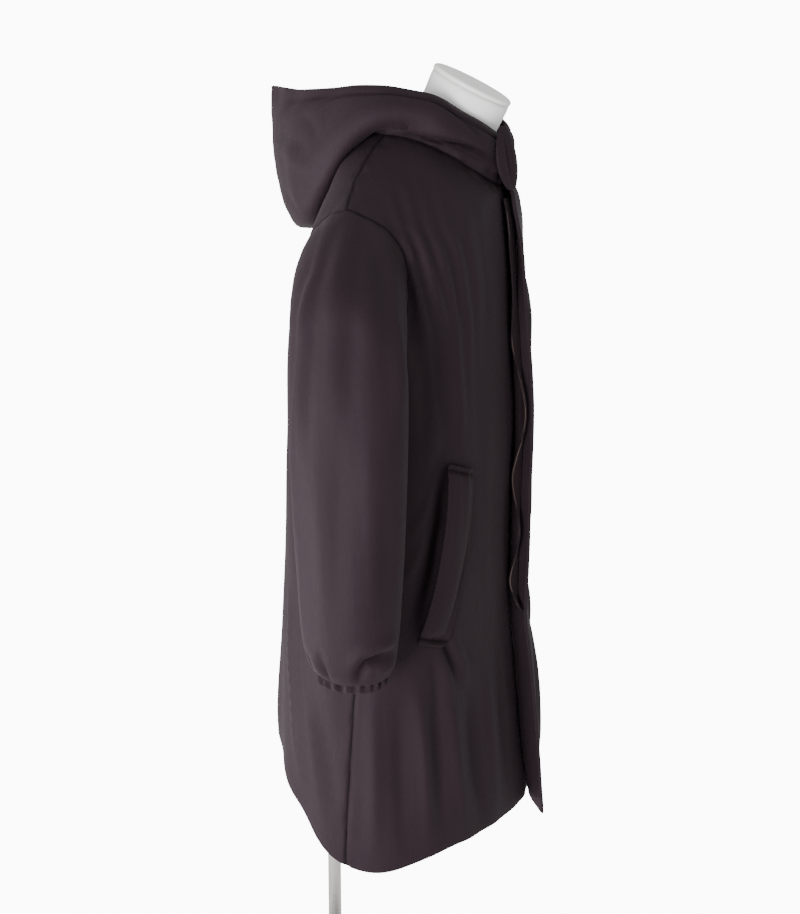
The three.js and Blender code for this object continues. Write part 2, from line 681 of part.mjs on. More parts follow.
// Inner fly strip: from its sewn side behind the left front to its waving free edge.
const FLY_ROWS = 32;
const FLY_COLUMNS = 4;
function flyPoint(row, column) {
  const z = mix(FLY[0].z, FLY[FLY.length - 1].z, row / FLY_ROWS);
  const face = read(BODY, 'z', 'front', z);
  const [edge, sewn, bend] = [0, 1, 2].map((k) => columnAt(leftFrontGrid, k, z));
  const inward = point(edge.y - bend.y, bend.x - edge.x, 0).normalize();
  sewn.addScaledVector(inward, (SHELL + FLY_CLOTH) / 2 + SEAM_GAP + 0.4);
  const free = point(-15, face - read(FLY, 'z', 'edge', z), z);
  return sewn.lerp(free, column / FLY_COLUMNS);
}

function material(color, roughness, metalness = 0) {
  return new THREE.MeshStandardMaterial({ color, roughness, metalness });
}
function node(name, geometry, look) {
  const mesh = new THREE.Mesh(geometry, look);
  mesh.name = name;
  return mesh;
}
const cloth = () => material(0x1d181b, 0.62);
const parka = new THREE.Group();
const flipped = (grid) => flip(grid.map((row) => row.map(mirror)));
const swung = (grid) => flipped(grid).map((row) => row.map((p) => {
  p.y += LEFT_SWING * ease((p.x - 238) / 30) * ease((1330 - p.z) / 230);
  return p;
}));

// Cloth of the coat, seam by seam.
const back = sheet(rightBackGrid, leftBackGrid);
const frontRight = sheet(rightFrontGrid, underlapGrid);
const frontLeft = sheet(leftFrontGrid);
const sleeveRight = sheet(sleeveGrid);
const sleeveLeft = sheet(swung(sleeveGrid));
const hoodGridRight = hoodGrid(false);
const hoodGridLeft = hoodGrid(true);
const hoodRight = sheet(flip(hoodGridRight));
const hoodLeft = sheet(hoodGridLeft);
shareSeams([back, frontRight, frontLeft, sleeveRight, sleeveLeft, hoodRight, hoodLeft]);
fillHalfway(hoodRight, hoodGridRight[0]);
fillHalfway(hoodLeft, hoodGridLeft[0]);
parka.add(node('back', wall(back, SHELL), cloth()));
parka.add(node('front_right', wall(frontRight, SHELL), cloth()));
parka.add(node('front_left', wall(frontLeft, SHELL), cloth()));
parka.add(node('sleeve_right', wall(sleeveRight, SHELL), cloth()));
parka.add(node('sleeve_left', wall(sleeveLeft, SHELL), cloth()));
parka.add(node('hood_right', wall(hoodRight, SHELL, HOOD_GAP), cloth()));
parka.add(node('hood_left', wall(hoodLeft, SHELL, HOOD_GAP), cloth()));
parka.add(node('cuff_right', wall(sheet(cuffGrid), CUFF_CLOTH), cloth()));
parka.add(node('cuff_left', wall(sheet(swung(cuffGrid)), CUFF_CLOTH), cloth()));

// Trimmings that lie on the coat.
const weltGrid = (grid) => lattice(WELT_ROWS, WELT_COLUMNS, (i, j) => weltPoint(grid, i, j));
parka.add(node('welt_right', wall(sheet(weltGrid(rightFrontGrid)), WELT_CLOTH), cloth()));
parka.add(node('welt_left', wall(sheet(flip(weltGrid(leftFrontGrid))), WELT_CLOTH), cloth()));
const flyGrid = flip(lattice(FLY_ROWS, FLY_COLUMNS, flyPoint));
parka.add(node('fly_strip', wall(sheet(flyGrid), FLY_CLOTH), cloth()));
const tabGrid = lattice(COLLAR_TAB.length * 2 - 2, 4, (i, j) => {
  const z = mix(COLLAR_TAB[0].z, COLLAR_TAB[COLLAR_TAB.length - 1].z, i / (COLLAR_TAB.length * 2 - 2));
  const u = j / 4;
  const x = mix(read(COLLAR_TAB, 'z', 'right', z), read(COLLAR_TAB, 'z', 'left', z), u);
  return point(x, mix(read(COLLAR_TAB, 'z', 'yRight', z), read(COLLAR_TAB, 'z', 'yLeft', z), u), z);
});
parka.add(node('collar_tab', wall(sheet(tabGrid), WELT_CLOTH), cloth()));

// Dress form, its cap and the stand.
const white = () => material(0xe9e7e4, 0.55);
parka.add(node('dress_form', stack(FORM.map((row) => formRing(row))), white()));
const lastRow = FORM[FORM.length - 1];
const capRings = [
  formRing(lastRow, SEAM_GAP),
  formRing(lastRow, CAP_HEIGHT - 2),
  formRing({ ...lastRow, halfX: lastRow.halfX - 3, halfY: lastRow.halfY - 3 }, CAP_HEIGHT),
];
parka.add(node('neck_cap', stack(capRings), white()));
const steel = () => material(0x9a9a98, 0.35, 0.9);
const poleRings = [
  disc(POLE_RADIUS, BASE_HEIGHT + SEAM_GAP, ROUND_SIDES),
  disc(POLE_RADIUS, FORM[0].z - SEAM_GAP, ROUND_SIDES),
];
parka.add(node('pole', stack(poleRings), steel()));
const socketProfile = [
  new THREE.Vector2(POLE_RADIUS + SEAM_GAP, BASE_HEIGHT + SEAM_GAP),
  new THREE.Vector2(SOCKET_RADIUS + 4, BASE_HEIGHT + SEAM_GAP),
  new THREE.Vector2(SOCKET_RADIUS, BASE_HEIGHT + 8),
  new THREE.Vector2(SOCKET_RADIUS, SOCKET_TOP),
  new THREE.Vector2(POLE_RADIUS + SEAM_GAP, SOCKET_TOP),
];
const socketRings = socketProfile.map((p) => disc(p.x, p.y, ROUND_SIDES));
const socketFaces = [];
socketRings.forEach((_, i) => {
  const own = i * ROUND_SIDES;
  const next = ((i + 1) % socketRings.length) * ROUND_SIDES;
  for (let j = 0; j < ROUND_SIDES; j += 1) {
    const k = (j + 1) % ROUND_SIDES;
    socketFaces.push([own + j, own + k, next + k, next + j]);
  }
});
parka.add(node('pole_socket', solid(socketRings.flat(), socketFaces), steel()));
const baseRings = [
  disc(BASE_RADIUS - 1, 0, ROUND_SIDES),
  disc(BASE_RADIUS, 1, ROUND_SIDES),
  disc(BASE_RADIUS, BASE_HEIGHT - 2, ROUND_SIDES),
  disc(BASE_RADIUS - 3, BASE_HEIGHT, ROUND_SIDES),
];
parka.add(node('base_plate', stack(baseRings), steel()));

export default parka;
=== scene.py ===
import math

import bmesh
import bpy
import numpy as np
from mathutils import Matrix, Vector


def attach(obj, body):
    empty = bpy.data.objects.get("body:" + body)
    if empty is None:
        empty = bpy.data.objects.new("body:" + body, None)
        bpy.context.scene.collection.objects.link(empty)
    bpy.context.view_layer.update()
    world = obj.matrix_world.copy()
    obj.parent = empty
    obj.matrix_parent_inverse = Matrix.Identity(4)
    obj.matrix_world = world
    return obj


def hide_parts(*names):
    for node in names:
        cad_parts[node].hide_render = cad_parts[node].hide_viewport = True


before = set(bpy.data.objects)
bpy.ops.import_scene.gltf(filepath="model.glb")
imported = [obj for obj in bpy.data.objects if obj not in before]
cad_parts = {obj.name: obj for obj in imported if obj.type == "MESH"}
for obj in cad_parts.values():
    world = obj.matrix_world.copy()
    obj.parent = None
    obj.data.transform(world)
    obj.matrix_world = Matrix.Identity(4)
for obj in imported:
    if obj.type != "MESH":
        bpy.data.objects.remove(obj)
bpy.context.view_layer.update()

# SHELL PANELS, AS CUT
# The coat's seven panels of padded shell cloth: back, two fronts, two sleeves and the hood's halves.
# Each is taken from its CAD wall as a smooth middle surface with a direction of thickness.
SAME_POINT = 1e-5
STRAY_POINTS = 9
RIM_STEPS = 9
FLATTEST_JOIN, SQUAREST_JOIN = 0.9, 1.3


def points_of(mesh):
    """Coordinates of a mesh's points, one row each."""
    flat = np.empty(len(mesh.vertices) * 3, np.float32)
    mesh.vertices.foreach_get("co", flat)
    return flat.reshape(-1, 3).astype(float)


def corners_of(mesh, sides):
    """Point numbers of a mesh's faces, which all have the same number of sides."""
    flat = np.empty(len(mesh.loops), np.int32)
    mesh.loops.foreach_get("vertex_index", flat)
    return flat.reshape(-1, sides)


def unit(rows):
    """Each row divided by its length."""
    return rows / np.maximum(np.linalg.norm(rows, axis=1, keepdims=True), 1e-12)


def open_edges(faces, count):
    """Sides of the faces that no other face runs along the other way."""
    start, end = faces.ravel(), np.roll(faces, -1, axis=1).ravel()
    lone = ~np.isin(start.astype(np.int64) * count + end, end.astype(np.int64) * count + start)
    return np.stack([start[lone], end[lone]], axis=1)


def skin(node, thickness, inside, levels):
    """Middle surface of a CAD wall. Points one thickness apart are pairs, faces that hold a pair are the
    rim and are dropped, and of the two skins left the one farther from `inside` is kept, moved in by half
    the thickness, joined into quads and divided smoothly."""
    bm = bmesh.new()
    bm.from_mesh(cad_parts[node].data)
    bmesh.ops.remove_doubles(bm, verts=bm.verts, dist=SAME_POINT)
    mesh = bpy.data.meshes.new(node + "_skin")
    bm.to_mesh(mesh)
    bm.free()
    co, faces = points_of(mesh), corners_of(mesh, 3)
    spread = (co**2).sum(1)
    apart = np.sqrt(np.maximum(spread[:, None] + spread[None] - 2 * co @ co.T, 0))
    partner = np.abs(apart - thickness).argmin(1)
    paired = (partner[faces] == np.roll(faces, 1, 1)) | (partner[faces] == np.roll(faces, -1, 1))
    faces = faces[~paired.any(1)]
    label = np.arange(len(co))
    while True:
        lowest = label[faces].min(1)
        joined = label.copy()
        np.minimum.at(joined, faces.ravel(), np.repeat(lowest, 3))
        if (joined == label).all():
            break
        label = joined
    reach = np.linalg.norm(co - np.array(inside), axis=1)
    sides = np.unique(label[faces])
    outer = max(sides, key=lambda k: reach[label == k].mean() * ((label == k).sum() > STRAY_POINTS))
    faces = faces[label[faces[:, 0]] == outer]
    used, faces = np.unique(faces, return_inverse=True)
    faces = faces.reshape(-1, 3)
    out = unit(co[used] - co[partner[used]])
    middle = co[used] - out * thickness / 2
    mesh = bpy.data.meshes.new(node + "_middle")
    mesh.from_pydata(middle.tolist(), [], faces.tolist())
    bm = bmesh.new()
    bm.from_mesh(mesh)
    bmesh.ops.join_triangles(
        bm,
        faces=bm.faces,
        angle_face_threshold=FLATTEST_JOIN,
        angle_shape_threshold=SQUAREST_JOIN,
    )
    bm.to_mesh(mesh)
    bm.free()
    mesh.attributes.new("out", "FLOAT_VECTOR", "POINT").data.foreach_set("vector", out.ravel())
    rim = open_edges(faces, len(middle))
    steps = np.linspace(0, 1, RIM_STEPS)[None, :, None]
    border = middle[rim[:, 0], None] * (1 - steps) + middle[rim[:, 1], None] * steps
    obj = bpy.data.objects.new(node + "_middle", mesh)
    bpy.context.scene.collection.objects.link(obj)
    divide = obj.modifiers.new("divide", "SUBSURF")
    divide.levels = divide.render_levels = levels
    divide.boundary_smooth = "PRESERVE_CORNERS"
    smooth = obj.evaluated_get(bpy.context.evaluated_depsgraph_get()).data
    co, faces = points_of(smooth), corners_of(smooth, 4)
    out = np.empty(len(co) * 3, np.float32)
    smooth.attributes["out"].data.foreach_get("vector", out)
    bpy.data.objects.remove(obj)
    return {
        "points": co,
        "faces": faces,
        "out": unit(out.reshape(-1, 3).astype(float)),
        "border": border.reshape(-1, 3),
        "thickness": thickness,
    }


SHELL_THICKNESS = 0.006
# A place inside each panel's curve, and how often its surface is divided.
PANEL_HOLLOWS = {
    "back": ((0, -0.13, 1.0), 2),
    "front_right": ((0, -0.13, 1.0), 3),
    "front_left": ((0, -0.13, 1.0), 3),
    "sleeve_right": ((-0.28, -0.155, 1.1), 3),
    "sleeve_left": ((0.28, -0.135, 1.1), 3),
    "hood_right": ((0.04, -0.06, 1.5), 3),
    "hood_left": ((-0.04, -0.06, 1.5), 3),
}
SKINS = {
    node: skin(node, SHELL_THICKNESS, inside, levels)
    for node, (inside, levels) in PANEL_HOLLOWS.items()
}
BATCH = 4000


def distance(points, targets):
    """Distance from each point to the nearest target, worked out a few thousand points at a time."""
    out = np.empty(len(points))
    size = (targets**2).sum(1)
    for i in range(0, len(points), BATCH):
        part = points[i : i + BATCH]
        squares = (part**2).sum(1)[:, None] + size[None] - 2 * part @ targets.T
        out[i : i + BATCH] = np.sqrt(np.maximum(squares.min(1), 0))
    return out


def sort_border(name, reach=0.003):
    """A panel's border in two lists: where it is sewn to another panel, and where it is free."""
    own = SKINS[name]["border"]
    others = np.concatenate([s["border"] for key, s in SKINS.items() if key != name])
    sewn = distance(own, others) < reach
    return own[sewn], own[~sewn]


def waves(points, seed, lengths, lift, count=7):
    """Gentle unevenness: sine waves in seeded directions, with a wavelength of its own along X, Y, Z."""
    rng = np.random.default_rng(seed)
    total = np.zeros(len(points))
    for _ in range(count):
        direction = rng.normal(size=3)
        direction *= 2 * math.pi / np.linalg.norm(direction) / np.array(lengths)
        total += np.sin(points @ direction + rng.uniform(0, 2 * math.pi))
    return total * lift / math.sqrt(count)


NO_FOLD_NEAR = 9.0
SIDE_BLEND = 0.004
FOLD_END, FOLD_FADE = 0.04, 0.8


def folds(points, out, rows):
    """Listed folds. Each row is a height, a width to each side and a path in millimetres; the cloth
    moves by the height times a bell curve of the distance to the path, fading towards both ends."""
    total = np.zeros(len(points))
    for height, wide, narrow, path in rows:
        line = np.array(path) / 1000
        spans = np.linalg.norm(np.diff(line, axis=0), axis=1)
        best = np.full(len(points), NO_FOLD_NEAR)
        along = np.zeros(len(points))
        side = np.zeros(len(points))
        begun = 0.0
        for a, b, span in zip(line[:-1], line[1:], spans):
            t = np.clip((points - a) @ (b - a) / span**2, 0, 1)
            offset = points - a - t[:, None] * (b - a)
            near = np.linalg.norm(offset, axis=1)
            turn = (np.cross((b - a) / span, offset) * out).sum(1)
            closer = near < best
            best[closer] = near[closer]
            along[closer] = (begun + t[closer] * span) / spans.sum()
            side[closer] = turn[closer]
            begun += span
        blend = 0.5 + 0.5 * np.tanh(side / SIDE_BLEND)
        width = (narrow + (wide - narrow) * blend) / 1000
        fade = np.sin(math.pi * (FOLD_END + (1 - 2 * FOLD_END) * along)) ** FOLD_FADE
        total += height / 1000 * np.exp(-((best / width) ** 2)) * fade
    return total


FORM_HEIGHTS, FORM_ROOM = (1.10, 1.20, 1.30), (0.02, 0.004, 0.0003)
LEAST_WALL = 0.0015
INNER_SHARE = 0.96
EDGE_WIDTH, EDGE_THINNING = 0.004, 0.0006
EDGE_ROUND, SEAM_BULGE, ARC_POINTS = 0.85, 0.0006, 5
# Painted shade along sewn edges: its strength and its width.
SEAM_SHADE, SEAM_WIDTH = 0.7, 0.0016


def sewn_wall(name, surface, relief, puff, groove, sewn, free, flat_uv, rise=0.02, shade=0.0):
    """Closed wall about a middle surface: both skins move by `relief`, the outer one also puffs up away
    from its border and sinks at sewn edges, free edges are closed by a half-round, and sewn edges bulge
    just enough to meet. The inner skin moves in only as far as the form leaves room at its height.
    Each point's painted shade, strongest along sewn edges and at least `shade`, is kept as an attribute."""
    points, out, faces = surface["points"], surface["out"], surface["faces"]
    half = surface["thickness"] / 2
    to_sewn = distance(points, sewn) if len(sewn) else np.full(len(points), 1.0)
    to_free = distance(points, free)
    to_edge = np.minimum(to_sewn, to_free)
    lift = half + puff * (1 - np.exp(-((to_edge / rise) ** 2)))
    lift -= groove * np.exp(-((to_sewn / EDGE_WIDTH) ** 2))
    lift -= EDGE_THINNING * np.exp(-((to_free / EDGE_WIDTH) ** 2))
    room = np.interp(points[:, 2], FORM_HEIGHTS, FORM_ROOM)
    low = np.maximum(relief, -room) - half * INNER_SHARE
    inner = points + out * low[:, None]
    outer = points + out * np.maximum(relief + lift, low + LEAST_WALL)[:, None]
    rim = open_edges(faces, len(points))
    away = np.zeros_like(points)
    run = points[rim[:, 1]] - points[rim[:, 0]]
    outward = unit(np.cross(run, out[rim[:, 0]]))
    np.add.at(away, rim[:, 0], outward)
    np.add.at(away, rim[:, 1], outward)
    ends = np.unique(rim)
    place = np.full(len(points), -1)
    place[ends] = np.arange(len(ends))
    bulge = np.where(to_sewn[ends] > EDGE_WIDTH, half * EDGE_ROUND, SEAM_BULGE)
    round_out = unit(away[ends]) * bulge[:, None]
    seat = (outer[ends] + inner[ends]) / 2
    reach = (outer[ends] - inner[ends]) / 2
    angles = np.linspace(0, math.pi, ARC_POINTS + 2)[1:-1]
    arcs = [seat + reach * math.cos(a) + round_out * math.sin(a) for a in angles]
    count = len(points)
    chain = [np.arange(count)] + [
        2 * count + k * len(ends) + np.maximum(place, 0) for k in range(len(arcs))
    ]
    chain.append(count + np.arange(count))
    strips = [
        np.stack([a[rim[:, 1]], a[rim[:, 0]], b[rim[:, 0]], b[rim[:, 1]]], 1)
        for a, b in zip(chain[:-1], chain[1:])
    ]
    every = np.concatenate([faces, faces[:, ::-1] + count] + strips)
    co = np.concatenate([outer, inner] + arcs)
    flat = flat_uv(np.concatenate([points, points] + [points[ends]] * len(arcs)))
    obj = mesh_object(name, co, every, flat)
    # Painted shade: strongest along sewn edges, and never less than the shade passed in.
    dark = np.maximum(SEAM_SHADE * np.exp(-((to_sewn / SEAM_WIDTH) ** 2)), shade)
    dark = np.concatenate([dark, dark] + [dark[ends]] * len(arcs)).astype(np.float32)
    obj.data.attributes.new("painted_shade", "FLOAT", "POINT").data.foreach_set("value", dark)
    return obj


def mesh_object(name, co, faces, flat=None):
    """Smooth-shaded object from points and four-sided faces, with a UV map in metres of cloth."""
    mesh = bpy.data.meshes.new(name)
    mesh.from_pydata(co.tolist(), [], faces.tolist())
    mesh.polygons.foreach_set("use_smooth", np.ones(len(faces), bool))
    if flat is not None:
        uv = flat[faces].reshape(-1).astype(np.float32)
        mesh.uv_layers.new(name="cloth").data.foreach_set("uv", uv)
    mesh.update()
    obj = bpy.data.objects.new(name, mesh)
    bpy.context.scene.collection.objects.link(obj)
    return obj


BODY_MIDDLE, BODY_RADIUS = -0.13, 0.23


def round_body(facing):
    """UV of a point on the coat's body: arc length round a vertical axis, and height."""

    def flat(p):
        turn = np.arctan2(p[:, 0], facing * (p[:, 1] - BODY_MIDDLE))
        return np.stack([turn * BODY_RADIUS, p[:, 2]], 1)

    return flat


def link(tree, output, target):
    """Joins two sockets of a node tree."""
    tree.links.new(output, target)


def shader(tree, kind, **values):
    """A shader node with the given inputs and settings."""
    made = tree.nodes.new(kind)
    for key, value in values.items():
        if key in made.inputs:
            made.inputs[key].default_value = value
        else:
            setattr(made, key, value)
    return made


# Share of the dark tone left under full painted shade, and the gloss of the cloth and under full painted
# shade.
PAINTED_SHADE_TONE = 0.15
CLOTH_GLOSS, SEAM_GLOSS = 0.08, 0.02
ROUGHNESS_SPREAD = 0.06
SHEEN_TINT, GLOSS_TINT = (0.95, 0.74, 0.86, 1), (1.0, 0.78, 0.9, 1)
HANGING_SCALE = (130, 130, 24)


def shell_cloth(name, dark, light, roughness, sheen):
    """Tightly woven shell cloth: two close tones in soft clouds, darker and less glossy under painted
    shade kept on the mesh, a fine plain weave that follows the UV map, small puckers and hanging streaks
    in the bump, a soft sheen."""
    made = bpy.data.materials.new(name)
    made.use_nodes = True
    tree = made.node_tree
    bsdf = tree.nodes["Principled BSDF"]
    place = shader(tree, "ShaderNodeTexCoord")
    cloud = shader(tree, "ShaderNodeTexNoise", Scale=9.0, Detail=4.0, Roughness=0.6)
    link(tree, place.outputs["Object"], cloud.inputs["Vector"])
    tone = shader(tree, "ShaderNodeMix", data_type="RGBA")
    tone.inputs["A"].default_value = (*dark, 1)
    tone.inputs["B"].default_value = (*light, 1)
    link(tree, cloud.outputs["Fac"], tone.inputs["Factor"])
    # The painted shade kept on the mesh darkens the colour and lowers the gloss.
    seam = shader(tree, "ShaderNodeAttribute", attribute_name="painted_shade")
    shadow = shader(tree, "ShaderNodeMix", data_type="RGBA")
    shadow.inputs["B"].default_value = (*[PAINTED_SHADE_TONE * c for c in dark], 1)
    link(tree, seam.outputs["Fac"], shadow.inputs["Factor"])
    link(tree, tone.outputs["Result"], shadow.inputs["A"])
    link(tree, shadow.outputs["Result"], bsdf.inputs["Base Color"])
    gloss = shader(tree, "ShaderNodeMapRange")
    gloss.inputs["To Min"].default_value = CLOTH_GLOSS
    gloss.inputs["To Max"].default_value = SEAM_GLOSS
    link(tree, seam.outputs["Fac"], gloss.inputs["Value"])
    link(tree, gloss.outputs["Result"], bsdf.inputs["Specular IOR Level"])
    rough = shader(tree, "ShaderNodeMapRange")
    rough.inputs["To Min"].default_value = roughness - ROUGHNESS_SPREAD
    rough.inputs["To Max"].default_value = roughness + ROUGHNESS_SPREAD
    link(tree, cloud.outputs["Fac"], rough.inputs["Value"])
    link(tree, rough.outputs["Result"], bsdf.inputs["Roughness"])
    weave = []
    for direction in ("X", "Y"):
        wave = shader(tree, "ShaderNodeTexWave", Scale=420.0, bands_direction=direction)
        link(tree, place.outputs["UV"], wave.inputs["Vector"])
        weave.append(wave)
    crossing = shader(tree, "ShaderNodeMath", operation="MULTIPLY")
    link(tree, weave[0].outputs["Fac"], crossing.inputs[0])
    link(tree, weave[1].outputs["Fac"], crossing.inputs[1])
    fine = shader(tree, "ShaderNodeBump", Strength=0.35, Distance=0.00006)
    link(tree, crossing.outputs["Value"], fine.inputs["Height"])
    crumple = shader(tree, "ShaderNodeTexNoise", Scale=38.0, Detail=3.0, Roughness=0.55)
    link(tree, place.outputs["Object"], crumple.inputs["Vector"])
    soft = shader(tree, "ShaderNodeBump", Strength=0.5, Distance=0.0012)
    link(tree, crumple.outputs["Fac"], soft.inputs["Height"])
    link(tree, fine.outputs["Normal"], soft.inputs["Normal"])
    stretch = shader(tree, "ShaderNodeMapping")
    stretch.inputs["Scale"].default_value = HANGING_SCALE
    link(tree, place.outputs["Object"], stretch.inputs["Vector"])
    streak = shader(tree, "ShaderNodeTexNoise", Scale=1.0, Detail=3.0, Roughness=0.6)
    link(tree, stretch.outputs["Vector"], streak.inputs["Vector"])
    hang = shader(tree, "ShaderNodeBump", Strength=0.5, Distance=0.0007)
    link(tree, streak.outputs["Fac"], hang.inputs["Height"])
    link(tree, soft.outputs["Normal"], hang.inputs["Normal"])
    link(tree, hang.outputs["Normal"], bsdf.inputs["Normal"])
    bsdf.inputs["Sheen Weight"].default_value = sheen
    bsdf.inputs["Sheen Roughness"].default_value = 0.45
    bsdf.inputs["Sheen Tint"].default_value = SHEEN_TINT
    bsdf.inputs["Specular Tint"].default_value = GLOSS_TINT
    return made


SHELL_LOOK = shell_cloth("shell_cloth", (0.0135, 0.0088, 0.0113), (0.0190, 0.0126, 0.0160), 0.6, 0.02)
PUFF, GROOVE = 0.0014, 0.0016
# Unevenness: a seed where all panels share it, wavelengths along X, Y and Z, and a height.
LONG_WAVES = ((0.10, 0.10, 0.34), 0.0011)
SHORT_WAVES = (91, (0.045, 0.045, 0.15), 0.0006)
SEAM_PUCKERS, PUCKER_REACH = (17, (0.017, 0.017, 0.022), 0.0009), 0.016
HEM_WAVES, HEM_REACH = (29, (0.06, 0.06, 0.2), 0.0014), 0.025
LAP_REACH = 0.015
# The hood's stitched casing: depth and width of its groove, and the painted shade along it.
CASING_DEPTH, CASING_WIDTH, CASING_SHADE = 0.0016, 0.0028, 0.4


def shell_panel(
    node, name, rows, seed, flat_uv, hollow_shade=(), against=None, casing=0.0
):
    """One panel of the coat: its skin with its own folds, unevenness and seam puckers, made into a
    sewn wall and given the shell cloth. Painted shade in its dark mouths and creases is listed as folds
    whose height is the shade in thousandths. `against` is the side (1 out, -1 in) and the stretch of X
    where another panel lies against it, and there it doesn't move that way. A `casing` is stitched down
    at that distance from the free edge, with painted shade along its stitches."""
    surface = SKINS[node]
    points, out = surface["points"], surface["out"]
    sewn, free = sort_border(node)
    close = distance(points, sewn)
    relief = folds(points, out, rows)
    relief += waves(points, seed, *LONG_WAVES)
    relief += waves(points, *SHORT_WAVES)
    relief += waves(points, *SEAM_PUCKERS) * np.exp(-((close / PUCKER_REACH) ** 2))
    to_free = distance(points, free)
    relief += waves(points, *HEM_WAVES) * np.exp(-((to_free / HEM_REACH) ** 2))
    puff = PUFF
    if against is not None:
        way, low, high = against
        apart = np.maximum(low - points[:, 0], points[:, 0] - high)
        keep = np.clip(apart / LAP_REACH, 0, 1)
        relief = np.where(relief * way > 0, relief * keep, relief)
        puff = PUFF * keep if way > 0 else PUFF
    stitched = np.exp(-(((to_free - casing) / CASING_WIDTH) ** 2)) * (casing > 0)
    relief -= CASING_DEPTH * stitched
    # Painted shade: the listed mouths and creases, and the casing's stitches.
    shade = np.clip(folds(points, out, hollow_shade) + CASING_SHADE * stitched, 0, 1)
    obj = sewn_wall(name, surface, relief, puff, GROOVE, sewn, free, flat_uv, shade=shade)
    obj.data.materials.append(SHELL_LOOK)
    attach(obj, "root")
    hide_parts(node)


# BACK
# One panel from the neck to the hem, cut in one with the strips over both shoulders.
# Soft upright folds fall from the seat to the raised back hem and catch the light.
BACK_FOLDS = [
    (7.0, 12, 8, [(-180, -20, 850), (-205, -34, 763), (-232, -53, 677), (-250, -74, 595)]),
    (-4.8, 11, 12, [(-200, -42, 860), (-221, -50, 775), (-240, -66, 690), (-254, -88, 600)]),
    (6.2, 11, 8, [(-220, -52, 800), (-236, -68, 720), (-250, -86, 650), (-262, -117, 560)]),
    (-3.0, 12, 10, [(-244, -96, 740), (-254, -108, 656), (-262, -126, 562)]),
    (3.8, 24, 16, [(-120, 20, 940), (-126, 18, 800), (-138, 17, 640)]),
    (-3.8, 20, 22, [(-80, 26, 900), (-84, 27, 780), (-92, 30, 640)]),
    (3.5, 26, 18, [(-30, 26, 980), (-26, 30, 820), (-30, 38, 650)]),
    (-3.0, 22, 18, [(24, 27, 930), (20, 32, 780), (16, 38, 640)]),
    (3.8, 22, 20, [(76, 24, 900), (84, 26, 760), (90, 32, 640)]),
    (-3.5, 16, 20, [(132, 18, 900), (140, 18, 770), (150, 14, 640)]),
    (4.2, 14, 12, [(196, -24, 880), (214, -40, 760), (238, -58, 620)]),
    (-3.5, 12, 13, [(226, -60, 800), (244, -80, 700), (255, -92, 610)]),
    (-2.2, 14, 10, [(-150, -30, 1362), (-172, -40, 1300), (-182, -50, 1230)]),
    (2.2, 12, 18, [(-168, -52, 1370), (-186, -66, 1333), (-196, -74, 1270)]),
    (-2.2, 14, 12, [(152, -32, 1360), (174, -42, 1300), (184, -52, 1230)]),
    (2.1, 14, 18, [(-60, 6, 1330), (-66, 14, 1260), (-70, 20, 1160)]),
    (2.1, 18, 14, [(70, 6, 1330), (74, 14, 1250), (82, 20, 1150)]),
]
shell_panel(
    "back",
    "panel_back",
    BACK_FOLDS,
    seed=3,
    flat_uv=round_body(1),
)

